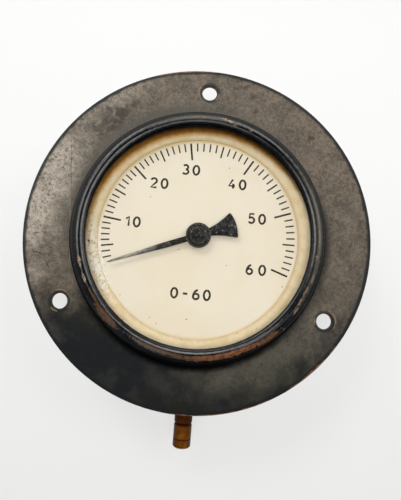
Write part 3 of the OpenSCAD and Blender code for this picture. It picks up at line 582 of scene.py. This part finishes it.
dialLook = {
    "cream": (0.84, 0.755, 0.605),
    "warm": (0.81, 0.70, 0.52),
    "ringCream": (0.87, 0.715, 0.465),
    "ringWarm": (0.80, 0.62, 0.355),
    "tan": (0.56, 0.42, 0.24),
    "honey": (0.67, 0.48, 0.12),
    "gold": (0.50, 0.33, 0.12),
    "chalk": (0.88, 0.84, 0.74),
    "soot": (0.08, 0.06, 0.045),
    "ink": (0.030, 0.023, 0.015),
    "wornInk": (0.15, 0.122, 0.084),
    "plateMasks": {
        "warm": (cloud, 0.06, 4, 0.35, 0.7),
        "low": (patch, 0, -34, 40, 16, 0, 0.3, 0.06, 0.9),
        # tan band just inside the ring's edge: staining and a painted shadow of the ring's edge
        "edge": (arcBand, 33.0, 2.3, 0, allRound, 0.35, 0.3, 0.9, 0, -dialShape["low"]),
        "topEdge": (arcBand, 32.3, 1.9, 105, 120, 0.3, 0.4, 0.7, 0, -dialShape["low"]),
        "dust": (specks, 0.32, 0.14, 0.075),
        "grime": (arcBand, 33.0, 3.0, -95, 64, 0.6, 0.4, 0.7),
        "grimeSpecks": (specks, 1.3, 0.25, 0.26, 4),
        "ripple": (cloud, 1.6, 4, 0.3, 0.8, 3),
    },
    "ringMasks": {
        "warm": (cloud, 0.3, 5, 0.38, 0.64),
        # tan at the ring's inner edge: staining and a painted shadow of that edge
        "foot": (arcBand, 31.7, 1.3, 0, allRound, 0.4, 0.4, 0.9, 0, -dialShape["low"]),
        "streaks": (scratches, 0.9, 50, 5, 0.2, 6),
        "patchy": (cloud, 0.6, 5, 0.36, 0.62, 44),
        "gilt": (arcBand, 34.9, 1.3, 176, 26, 0.8, 0.5, 0.6),
        "grime": (arcBand, 34.5, 4.0, -100, 85, 0.5, 0.4, 0.7),
        "grimeSpecks": (specks, 1.3, 0.3, 0.27, 12),
        "spot": (patch, -34.3, -4.4, 0.5, 0.6, 20, 0.9, 1.8, 0.5),
        "ripple": (cloud, 1.2, 4, 0.3, 0.8, 3),
    },
    # zone of the lifted enamel: angle, half angle, raggedness, grain, softness
    "flakeZone": (-163, 27, 0.8, 0.5, 0.45),
    "flakeMasks": {
        "whole": (cloud, 0.9, 5, 0.36, 0.52, 5),
        "seamed": (cloud, 0.8, 4, 0.4, 0.6, 33),
    },
    "seamWobble": 0.9, "seamCells": 0.75, "seamEdge": (0.14, 0.03),
    "edgeBandRadius": 38.5,
    # half width, middle angle, half angle, softness and colour of each step to the ring's edge: orange and
    # brown browning, deepened by painted shade at the top, and two near-black steps that are a painted shadow
    # of the bezel and wall
    "edgeBrowningAndShadow": [(6.2, 108, 106, 0.26, (0.58, 0.335, 0.095)), (5.1, 106, 114, 0.26, (0.235, 0.092, 0.012)),
              (4.1, 84, 74, 0.48, (0.008, 0.002, 0.0005)), (2.75, 118, 106, 0.16, (0.006, 0.002, 0.0005)),
              (2.9, 14, 46, 0.35, (0.16, 0.07, 0.02))],
    # across, up, half width, half height
    "spots": [(8.33, 22.95, 0.26, 0.22), (-16.3, 11.4, 0.22, 0.22), (-1.65, -26.4, 0.4, 0.22),
              (-13.1, -26.65, 0.22, 0.18), (-22.3, -26.1, 0.28, 0.24), (27.65, -14.0, 0.26, 0.26),
              (-10.9, -28.4, 0.22, 0.18), (-5.8, -4.8, 0.5, 0.16), (9.6, -8.7, 0.2, 0.2),
              (-6.3, 33.6, 0.3, 0.2), (-22.9, -20.4, 0.2, 0.2)],
}


def makeBlisters():
    # lifted enamel: pale flakes with brown seams between them
    look = dialLook
    group, given, out = newGroup("blisters", {"Radius": 33, "HalfWidth": 2.6}, ["Flakes", "Seams"])
    marks = masksOf(group, look["flakeMasks"])
    zone = mask(group, arcBand, given["Radius"], given["HalfWidth"], *look["flakeZone"])
    place = placeInMm(group)
    wobble = wire(group, "ShaderNodeTexNoise", {"Vector": place, "Scale": look["seamWobble"]})["Color"]
    entries = {"Vector": shifted(group, place, wobble), "Scale": look["seamCells"]}
    cells = wire(group, "ShaderNodeTexVoronoi", entries, feature="DISTANCE_TO_EDGE")
    seams = smoothStep(group, cells["Distance"], *look["seamEdge"])
    feed(group, out["Seams"], part(group, zone, seams, marks["seamed"]))
    feed(group, out["Flakes"], part(group, zone, marks["whole"]))
    return group


blisters = makeBlisters()


def addFlakes(tree, color, marks, place, seamTint, shares):
    # returns the colour with its flakes and seams, and the height for the bump
    lifted = useGroup(tree, blisters, *place)
    color = coat(tree, color, dialLook["chalk"], lifted["Flakes"], shares[0])
    color = coat(tree, color, dialLook[seamTint], lifted["Seams"], shares[1])
    return color, plus(tree, minus(tree, lifted["Flakes"], lifted["Seams"]), marks["ripple"])


def makeDialFinish():
    look = dialLook
    material, tree, shader = newMaterial("dialFinish", Roughness=0.55, Specular_IOR_Level=0.22)
    marks = masksOf(tree, look["plateMasks"])
    color = blendColor(tree, part(tree, marks["warm"], 0.7), look["cream"], look["warm"])
    color = coat(tree, color, look["warm"], marks["low"], 0.5)
    # tan band just inside the ring's edge: staining and a painted shadow of the ring's edge
    color = coat(tree, color, look["tan"], marks["edge"], 0.45)
    color = coat(tree, color, look["honey"], marks["topEdge"], 0.72)
    color, height = addFlakes(tree, color, marks, (32.4, 2.6), "tan", (0.8, 0.6))
    spots = manyMasks(tree, patch, look["spots"], (15, 0.3, 2.0, 0.5))
    grime = part(tree, marks["grime"], marks["grimeSpecks"], 0.5)
    dirt = strongest(tree, part(tree, marks["dust"], 0.3), grime, spots)
    color = coat(tree, color, look["soot"], dirt, 0.85)
    paint(tree, shader, color, height, 0.3, 0.07)
    return material


def makeDialRingFinish():
    look = dialLook
    material, tree, shader = newMaterial("dialRingFinish", Roughness=0.6, Specular_IOR_Level=0.12)
    marks = masksOf(tree, look["ringMasks"])
    color = blendColor(tree, marks["warm"], look["ringCream"], look["ringWarm"])
    # tan band at the ring's inner edge: staining and a painted shadow of that edge
    color = coat(tree, color, look["tan"], marks["foot"], 0.6)
    color = coat(tree, color, look["ringWarm"], marks["streaks"], 0.16)
    # browning of the ring's edge, deepened at the top into a painted shadow of the bezel and wall
    for width, angle, reach, soft, edgeTint in look["edgeBrowningAndShadow"]:
        edge = mask(tree, arcBand, look["edgeBandRadius"], width, angle, reach, 0.10, 0.35, soft)
        color = coat(tree, color, edgeTint, edge, plus(tree, 0.9, part(tree, marks["patchy"], 0.1)))
    color = coat(tree, color, look["gold"], marks["gilt"], marks["patchy"], 0.9)
    color, height = addFlakes(tree, color, marks, (33.5, 2.4), "gold", (0.85, 0.75))
    dirt = strongest(tree, part(tree, marks["grime"], marks["grimeSpecks"], 0.5), marks["spot"])
    color = coat(tree, color, look["soot"], dirt)
    paint(tree, shader, color, height, 0.4, 0.1)
    return material


def makePrintFinish():
    material, tree, shader = newMaterial("printFinish", Roughness=0.6, Specular_IOR_Level=0.2)
    worn = mask(tree, cloud, 1.6, 4, 0.5, 0.72, 31)
    paint(tree, shader, blendColor(tree, worn, dialLook["ink"], dialLook["wornInk"]), worn, 0.2, 0.02)
    return material


def markAngle(value):
    known = sorted(dialShape["angles"])
    for low, high in zip(known, known[1:]):
        if low <= value <= high:
            share = (value - low) / (high - low)
            return dialShape["angles"][low] * (1 - share) + dialShape["angles"][high] * share


def makeScaleMarks():
    s = dialShape
    mesh = bmesh.new()
    for value in range(s["firstMark"], s["lastMark"] + 1):
        kind = "long" if value % 10 == 0 else "middle" if value % 5 == 0 else "short"
        length, width = s[kind + "Mark"], s[kind + "Width"]
        size = Matrix.Diagonal((length * mm, s["printLift"] * 2 * mm, width * mm, 1))
        out = Matrix.Translation(((s["markEnd"] - length / 2) * mm, s["face"] * mm, 0))
        turn = Matrix.Translation((0, 0, -s["low"] * mm)) @ Matrix.Rotation(-radians(markAngle(value)), 4, "Y")
        bmesh.ops.create_cube(mesh, size=1, matrix=turn @ out @ size)
    return finishMesh("scaleMarks", mesh, smooth=False)


# Strokes of the numerals on a grid 6 wide and 10 high.
digitStrokes = {
    "0": [arc((3, 5), 2.6, 4.7, 90, 450, 28)],
    "1": [[(2.9, 7.4), (5.5, 9.7), (5.5, 0.3)]],
    "2": [arc((3, 7.1), 2.5, 2.6, 165, -38, 12) + [(0.6, 0.3), (5.6, 0.3)]],
    "3": [arc((2.9, 7.4), 2.1, 2.3, 150, -88, 12), arc((2.9, 2.7), 2.6, 2.4, 88, -150, 14)],
    "4": [[(3.6, 9.7), (0.3, 3.0), (5.7, 3.0)], [(4.1, 5.4), (4.1, 0.3)]],
    "5": [[(5.3, 9.7), (1.5, 9.7), (1.0, 5.4)] + arc((2.9, 3.2), 2.6, 2.9, 128, -150, 14)],
    "6": [arc((3, 3.0), 2.5, 2.7, 90, 450, 24), [(0.55, 3.2), (0.9, 5.6), (2.2, 8.0), (4.2, 9.7)]],
    "-": [[(1.0, 5.0), (5.0, 5.0)]],
}


def makeNumbers():
    s = numberShape
    unit = s["height"] / 10
    unitAcross = unit * s["wide"]
    curve = bpy.data.curves.new("dialNumbers", "CURVE")
    curve.dimensions = "3D"
    curve.bevel_depth = s["stroke"] / 2 * mm
    curve.bevel_resolution = 3
    curve.use_fill_caps = True
    for text, (across, up) in s["places"].items():
        spacing = s["spacings"].get(text, s["spacing"])
        for index, digit in enumerate(text):
            left = across + (index - (len(text) - 1) / 2) * spacing - 3 * unitAcross
            low = up - 5 * unit
            for stroke in digitStrokes[digit]:
                spline = curve.splines.new("POLY")
                spline.points.add(len(stroke) - 1)
                for point, (x, z) in zip(spline.points, stroke):
                    point.co = ((left + x * unitAcross) * mm, 0, (low + z * unit) * mm, 1)
    holder = addPiece("dialNumbersCurve", curve)
    bpy.context.view_layer.update()
    data = bpy.data.meshes.new_from_object(holder.evaluated_get(bpy.context.evaluated_depsgraph_get()))
    bpy.data.objects.remove(holder)
    thin = dialShape["printLift"] * 2 / s["stroke"]
    data.transform(Matrix.Translation((0, dialShape["face"] * mm, 0)) @ Matrix.Diagonal((1, thin, 1, 1)))
    return addPiece("dialNumbers", data)


def makeDialRing():
    s = dialRingShape
    outline = [(s["inner"], -s["back"]), (s["outer"], -s["back"]), (s["outer"], -s["front"])]
    outline += arc((s["inner"] + s["edge"], -s["front"] - s["edge"]), s["edge"], s["edge"], 90, 180, 6)
    ring = spinPiece("dialRing", outline, "Y", s["steps"])
    for vertex in ring.data.vertices:
        if hypot(vertex.co.x, vertex.co.z) < (s["inner"] + s["lowered"]) * mm:
            vertex.co.z -= dialShape["low"] * mm
    return ring


dress("dial_plate", makeDialFinish())
dialRing = makeDialRing()
dialRing.data.materials.append(makeDialRingFinish())
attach(dialRing, "case")
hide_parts("dial_ring")
printFinish = makePrintFinish()
for piece in (makeScaleMarks(), makeNumbers()):
    piece.data.materials.append(printFinish)
    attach(piece, "case")
print("stage: dial and print")


# Pointer: black paint gone dull, specked, rubbed at the tip and on the rims of its hub.
pointerLook = {
    "paint": (0.0030, 0.0036, 0.0044),
    "faded": (0.030, 0.036, 0.040),
    "speck": (0.24, 0.225, 0.185),
    "tip": (0.50, 0.465, 0.41),
    "rust": (0.070, 0.058, 0.042),
    "masks": {
        "dust": (specks, 1.5, 0.45, 0.46),
        "fine": (cloud, 2.2, 4, 0.50, 0.60, 11),
        "tip": (patch, -24.5, -7.4, 15.0, 3.0, 16.7, 0.4, 0.9, 0.6),
        "worn": (cloud, 0.8, 5, 0.50, 0.62),
    },
    "hubRims": [(2.45, 0.3), (3.75, 0.3)],       # radius and half width of its worn edges
}


def makePointerFinish():
    look = pointerLook
    material, tree, shader = newMaterial("pointerFinish", Metallic=0.1, Specular_IOR_Level=0.22)
    marks = masksOf(tree, look["masks"])
    rims = manyMasks(tree, arcBand, look["hubRims"], (0, allRound, 1.4, 1.5, 0.5))
    color = blendColor(tree, marks["worn"], look["paint"], look["faded"])
    color = coat(tree, color, look["rust"], marks["fine"], 0.55)
    color = coat(tree, color, look["rust"], rims, 0.6)
    color = coat(tree, color, look["speck"], marks["dust"], 0.6)
    color = coat(tree, color, look["tip"], marks["tip"], plus(tree, 0.6, part(tree, marks["worn"], 0.3)))
    roughen(tree, shader, marks["worn"], 0.42, 0.62)
    paint(tree, shader, color, strongest(tree, marks["dust"], marks["worn"], marks["fine"]), 0.5, 0.05)
    return material


# Blade: straight for a third of its reach, then a long taper. Its tail spreads like a fan.
bladeShape = {
    "turn": 200.9,            # degrees, from the dial's right to the tip
    "halfWidths": [(0.0, 0.93), (11.0, 0.91), (13.5, 0.82), (16.0, 0.73), (20.0, 0.59), (24.0, 0.42),
                   (28.4, 0.26), (29.6, 0.12)],
    "neck": 1.25, "tailStart": 3.2, "tailReach": 12.5, "tailAngle": 40.0, "flare": 1.6, "flareSteps": 12,
    "flareShare": 0.93, "cornerBack": 0.03, "cornerIn": 0.22, "cornerTurn": 3.0,
    "hole": 1.62, "edge": 0.07, "sharpAngle": 70.0,
}


def bladeOutline():
    # the blade lies along the first axis with its tip at the far end
    s = bladeShape
    half = s["tailAngle"] / 2
    tailEnd, tailHalf = s["tailReach"] * cos(radians(half)), s["tailReach"] * sin(radians(half))
    above = s["halfWidths"][::-1]
    for step in range(s["flareSteps"] + 1):
        share = s["flareShare"] * step / s["flareSteps"]
        above.append((-(s["tailStart"] + (tailEnd - s["tailStart"]) * share),
                      s["neck"] + (tailHalf - s["neck"]) * share ** s["flare"]))
    above.append((s["cornerBack"] - tailEnd, tailHalf - s["cornerIn"]))
    fanHalf = half - s["cornerTurn"]
    fan = arc((0, 0), s["tailReach"], s["tailReach"], 180 - fanHalf, 180 + fanHalf, 10)
    return above + fan + [(along, -across) for along, across in above[::-1]]


def makePointerBlade():
    s = bladeShape
    mesh = bmesh.new()
    low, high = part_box("pointer_blade")
    turn = Matrix.Rotation(-radians(s["turn"]), 3, "Y")
    edges = []
    for ring in (bladeOutline(), arc((0, 0), s["hole"], s["hole"], 0, 345, 23)):
        points = [mesh.verts.new(turn @ Vector((along * mm, 0, across * mm)) + Vector((0, high[1], 0)))
                  for along, across in ring]
        edges += [mesh.edges.new((a, b)) for a, b in zip(points, points[1:] + points[:1])]
    bmesh.ops.triangle_fill(mesh, use_beauty=True, edges=edges)
    moved = bmesh.ops.extrude_face_region(mesh, geom=mesh.faces[:])["geom"]
    front = [vertex for vertex in moved if isinstance(vertex, bmesh.types.BMVert)]
    bmesh.ops.translate(mesh, vec=(0, low[1] - high[1], 0), verts=front)
    bmesh.ops.recalc_face_normals(mesh, faces=mesh.faces)
    rim = [edge for edge in mesh.edges if edge.is_manifold and edge.calc_face_angle() > radians(s["sharpAngle"])
           and all(vertex in front for vertex in edge.verts)]
    bmesh.ops.bevel(mesh, geom=rim, offset=s["edge"] * mm, affect="EDGES", segments=2, profile=0.5, material=-1)
    return finishMesh("pointerBlade", mesh)


pointerFinish = makePointerFinish()
pointerBlade = makePointerBlade()
pointerBlade.data.materials.append(pointerFinish)
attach(pointerBlade, "pointer")
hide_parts("pointer_blade")
dress("pointer_hub", pointerFinish)
print("stage: pointer")


# Finishes inside: three colours, roughness, metallic and gloss, and the nodes that wear them.
innerFinishes = {
    "brassFinish": ((0.42, 0.24, 0.07), (0.14, 0.075, 0.03), (0.62, 0.40, 0.13), 0.3, 1.0, 0.5,
                    ["socket_block"]),
    "brightBrassFinish": ((0.68, 0.49, 0.20), (0.45, 0.30, 0.11), (0.80, 0.62, 0.30), 0.25, 1.0, 0.5,
                          ["sector_gear", "link_strip", "tube_end_piece", "hairspring_collet",
                           "hairspring_stud", "movement_back_plate", "movement_front_plate"]),
    "bronzeFinish": ((0.58, 0.35, 0.15), (0.38, 0.21, 0.09), (0.70, 0.46, 0.22), 0.3, 1.0, 0.5,
                     ["bourdon_tube"]),
    "steelFinish": ((0.50, 0.49, 0.46), (0.30, 0.29, 0.27), (0.60, 0.59, 0.57), 0.3, 1.0, 0.5,
                    ["pinion_arbor", "sector_arbor", "sector_stop", "plate_pillars"]),
    "screwFinish": ((0.30, 0.29, 0.28), (0.13, 0.11, 0.09), (0.42, 0.40, 0.37), 0.38, 1.0, 0.5,
                    ["link_screw", "tip_pin", "plate_screws", "movement_screws", "case_screws"]),
    "springFinish": ((0.10, 0.13, 0.19), (0.06, 0.07, 0.10), (0.2, 0.22, 0.26), 0.3, 1.0, 0.5, ["hairspring"]),
    "casePaint": ((0.022, 0.022, 0.023), (0.040, 0.034, 0.030), (0.03, 0.03, 0.031), 0.45, 0.0, 0.5,
                  ["case_can"]),
    "spacerPaint": ((0.002, 0.002, 0.002), (0.004, 0.0035, 0.003), (0.003, 0.003, 0.003), 0.7, 0.9, 0.1,
                    ["distance_ring"]),
    "rubberFinish": ((0.004, 0.004, 0.004), (0.007, 0.006, 0.005), (0.005, 0.005, 0.005), 0.7, 0.6, 0.1,
                     ["glass_gasket"]),
}


def makeInnerFinish(name, main, second, third, rough, metallic, gloss):
    material, tree, shader = newMaterial(name, Metallic=metallic, Specular_IOR_Level=gloss)
    stain = mask(tree, cloud, 0.22, 5, 0.4, 0.68, 14)
    fine = mask(tree, cloud, 1.8, 4, 0.35, 0.7, 2)
    lines = mask(tree, scratches, 0.6, 35, 14, 0.1)
    color = blendColor(tree, stain, main, second)
    color = coat(tree, color, third, fine, 0.4)
    color = coat(tree, color, second, lines, 0.4)
    roughen(tree, shader, strongest(tree, stain, fine), rough, rough + 0.22)
    paint(tree, shader, color, minus(tree, fine, lines), 0.2, 0.03)
    return material


for name, (*look, nodeNames) in innerFinishes.items():
    material = makeInnerFinish(name, *look)
    for nodeName in nodeNames:
        dress(nodeName, material)


def makeBourdonTube():
    tube = addPiece("bourdonTube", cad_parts["bourdon_tube"].data.copy())
    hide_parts("bourdon_tube")
    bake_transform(tube)


makeBourdonTube()
print("stage: inner pieces")


# Window glass: clear to the light that falls through it.
def mixShaders(tree, factor, first, second):
    node = addNode(tree, "ShaderNodeMixShader")
    for socket, value in zip(node.inputs, (factor, first, second)):
        feed(tree, socket, value)
    return node.outputs[0]


def makeGlassFinish():
    material, tree, shader = newMaterial("windowGlass", Base_Color=(0.97, 0.985, 0.98, 1), Roughness=0.02,
                                         Transmission_Weight=1.0, IOR=1.45)
    rays = addNode(tree, "ShaderNodeLightPath").outputs
    unseen = strongest(tree, rays["Is Shadow Ray"], rays["Is Diffuse Ray"], rays["Is Glossy Ray"])
    clear = addNode(tree, "ShaderNodeBsdfTransparent").outputs[0]
    glass = mixShaders(tree, unseen, shader.outputs[0], clear)
    feed(tree, tree.nodes["Material Output"].inputs["Surface"], glass)
    return material


dress("window_glass", makeGlassFinish())

# Inlet pipe: turned brass with a thick root, a dark groove and a narrow notch.
# Places along it are mm below the dial's middle.
pipeShape = {
    "radius": 3.0, "bore": 1.5, "start": 37.5, "end": 69.35, "depth": 14.8,
    "rootRadius": 3.5, "rootEnd": 43.5, "rootEdge": 0.25,
    "groove": 61.55, "grooveWidth": 1.05, "notch": 66.55, "notchWidth": 0.5, "cut": 0.2, "chamfer": 0.5,
    "steps": 64,
}
pipeLook = {
    "brass": (0.225, 0.068, 0.004),
    "brown": (0.105, 0.029, 0.002),
    "light": (0.27, 0.088, 0.007),
    "side": (0.048, 0.018, 0.003),
    "dark": (0.032, 0.006, 0.001),
    # painted shade on both flanks of the pipe, darkest where its round side turns away to the left and right
    "sides": (0.9, 2.6),              # mm across, where the brass starts to darken and is darkest
    # painted shadow of the flange over the pipe's upper stretch
    "neck": (61.4, 60.6),             # place where the dark upper stretch starts and is full
    "grooveDark": (0.68, 0.45),       # half width and softness of the dark in it
    "notchDark": (0.4, 0.8),
}


def makePipeFinish():
    p, look = pipeShape, pipeLook
    material, tree, shader = newMaterial("pipeFinish", Metallic=0.5, Specular_IOR_Level=0.15)
    axes = axesOf(tree, placeInMm(tree))
    down = part(tree, axes["Z"], -1.0)

    def ringMask(at, half, soft):
        away = calc(tree, "ABSOLUTE", minus(tree, down, at))
        return smoothStep(tree, away, half, half * (1 - soft))

    # marks of turning change along the pipe only
    turned = noise(tree, wire(tree, "ShaderNodeCombineXYZ", {"Z": axes["Z"]})[0], 1.1, 3.0)
    color = blendColor(tree, smoothStep(tree, turned, 0.42, 0.62), look["brass"], look["brown"])
    color = coat(tree, color, look["light"], mask(tree, cloud, 0.5, 4, 0.45, 0.65))
    # painted shade on both flanks of the pipe
    sides = smoothStep(tree, calc(tree, "ABSOLUTE", axes["X"]), *look["sides"])
    color = coat(tree, color, look["side"], sides, 0.8)
    # dark in the groove and notch, and a painted shadow of the flange over the upper stretch
    dark = strongest(tree, ringMask(p["groove"], *look["grooveDark"]),
                     part(tree, ringMask(p["notch"], *look["notchDark"]), 0.7),
                     part(tree, smoothStep(tree, down, *look["neck"]), 0.72))
    color = coat(tree, color, look["dark"], dark)
    roughen(tree, shader, dark, 0.4, 0.65)
    paint(tree, shader, color, turned, 0.2, 0.04)
    return material


def makePipe():
    p = pipeShape
    r, cut = p["radius"], p["cut"]
    g, gw, n, nw = p["groove"], p["grooveWidth"] / 2, p["notch"], p["notchWidth"] / 2
    outline = [
        (p["bore"], -p["start"]), (p["rootRadius"], -p["start"]),
        (p["rootRadius"], -p["rootEnd"] + p["rootEdge"]), (p["rootRadius"] - p["rootEdge"], -p["rootEnd"]),
        (r, -p["rootEnd"]),
        (r, -g + gw), (r - cut, -g + gw), (r - cut, -g - gw), (r, -g - gw),
        (r, -n + nw), (r - cut, -n), (r, -n - nw), (r, -p["end"] + p["chamfer"]), (r - p["chamfer"], -p["end"]),
        (p["bore"], -p["end"]),
    ]
    return spinPiece("inletPipe", outline, "Z", p["steps"], centre=(0, p["depth"], 0))


pipe = makePipe()
pipe.data.materials.append(makePipeFinish())
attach(pipe, "case")
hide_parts("inlet_pipe")
print("stage: glass and pipe")

# Pale table behind the case and soft studio light from all round the camera.
stageSetup = {
    "tableDepth": 31.5, "tableSize": 4000.0,      # mm
    "whiteAbove": (1.0, 1.0, 0.99),
    "whiteBelow": (0.845, 0.843, 0.833),
    "fadeFrom": -150.0, "fadeTo": 100.0,          # mm up, where the lower white ends and the upper begins
    "litShare": 0.94,                             # share of its white that the lit surface has
    "ownShare": 0.6,                              # part of the table's brightness that no shadow takes away
    "lamps": [
        # place (mm), size (mm), watts, lights surfaces, seen in reflections
        ((-260, -500, 360), 230, 1.2, True, True),
        ((330, -490, 170), 260, 0.6, True, True),
        ((-60, -450, -380), 270, 0.12, True, True),
        ((0, -520, -40), 300, 1.58, True, False),
        ((-300, 420, 300), 500, 1.6, True, True),
        ((320, 420, 60), 500, 1.2, True, True),
        ((0, -420, 460), 300, 0.7, False, True),
        ((440, -440, 40), 420, 0.2, False, True),
        ((-265, -480, 130), 200, 0.25, False, True),
    ],
    # brightness of the room's parts, and of the backdrop that the camera sees
    "above": 0.45, "right": 0.25, "left": 0.25, "wall": 0.9, "floor": 0.02, "backdrop": 0.96,
    # how far up, aside or ahead a direction points where each of them starts and is full
    "skyRise": (-0.15, 0.85), "sideReach": (0.1, 0.9), "glowAhead": (-0.92, -0.78), "wallAhead": (0.05, 0.45),
}


def makeTable():
    s = stageSetup
    mesh = bmesh.new()
    place = Matrix.Translation((0, s["tableDepth"] * mm, 0)) @ Matrix.Rotation(radians(90), 4, "X")
    bmesh.ops.create_grid(mesh, x_segments=1, y_segments=1, size=s["tableSize"] / 2 * mm, matrix=place)
    table = finishMesh("table", mesh, smooth=False)
    material, tree, shader = newMaterial("tableSurface", Roughness=0.8, Specular_IOR_Level=0.1)
    # the table's white is painted darker towards the bottom: painted shade of the light falling from above
    rise = smoothStep(tree, axesOf(tree, placeInMm(tree))["Z"], s["fadeFrom"], s["fadeTo"])
    white = blendColor(tree, rise, s["whiteBelow"], s["whiteAbove"])
    lit = blendColor(tree, 1.0, white, (s["litShare"],) * 3, "MULTIPLY")
    feed(tree, shader.inputs["Base Color"], lit)
    own = wire(tree, "ShaderNodeEmission", {"Color": white})[0]
    rays = addNode(tree, "ShaderNodeLightPath").outputs
    seen = strongest(tree, rays["Is Camera Ray"], rays["Is Glossy Ray"], rays["Is Transmission Ray"])
    surface = mixShaders(tree, part(tree, seen, s["ownShare"]), shader.outputs[0], own)
    behind = addNode(tree, "ShaderNodeNewGeometry").outputs["Backfacing"]
    clear = addNode(tree, "ShaderNodeBsdfTransparent").outputs[0]
    surface = mixShaders(tree, behind, surface, clear)
    feed(tree, tree.nodes["Material Output"].inputs["Surface"], surface)
    table.data.materials.append(material)
    table.visible_shadow = False
    table.visible_diffuse = False


def makeLamps():
    for index, (place, size, watts, plain, shiny) in enumerate(stageSetup["lamps"]):
        data = bpy.data.lights.new(f"lamp{index}", "AREA")
        data.shape = "DISK"
        data.size = size * mm
        data.energy = watts
        lamp = addPiece(f"lamp{index}", data)
        lamp.location = Vector(place) * mm
        lamp.visible_diffuse = plain
        lamp.visible_glossy = shiny
        lamp.rotation_euler = (-Vector(place)).normalized().to_track_quat("-Z", "Y").to_euler()


def makeWorld():
    s = stageSetup
    world = bpy.data.worlds.new("studio")
    scene.world = world
    world.use_nodes = True
    tree = world.node_tree
    across, ahead, up = axesOf(tree, addNode(tree, "ShaderNodeTexCoord").outputs["Generated"])
    # dark round the camera and below, brighter above and at the sides, and white behind the gauge
    start, full = s["sideReach"]
    sky = plus(tree, smoothStep(tree, up, *s["skyRise"], 0.0, s["above"]),
               smoothStep(tree, across, start, full, 0.0, s["right"]),
               smoothStep(tree, across, -start, -full, 0.0, s["left"]))
    glow = part(tree, sky, smoothStep(tree, ahead, *s["glowAhead"]))
    wall = smoothStep(tree, ahead, *s["wallAhead"], 0.0, s["wall"])
    level = plus(tree, glow, wall, s["floor"])
    rays = addNode(tree, "ShaderNodeLightPath").outputs
    seen = strongest(tree, rays["Is Camera Ray"], rays["Is Transmission Ray"])
    level = plus(tree, part(tree, level, minus(tree, 1.0, seen)), part(tree, s["backdrop"], seen))
    join = addNode(tree, "ShaderNodeCombineColor")
    for socket in join.inputs[:3]:
        feed(tree, socket, level)
    feed(tree, tree.nodes["Background"].inputs["Color"], join.outputs[0])


makeTable()
makeLamps()
makeWorld()
print("stage: lights")
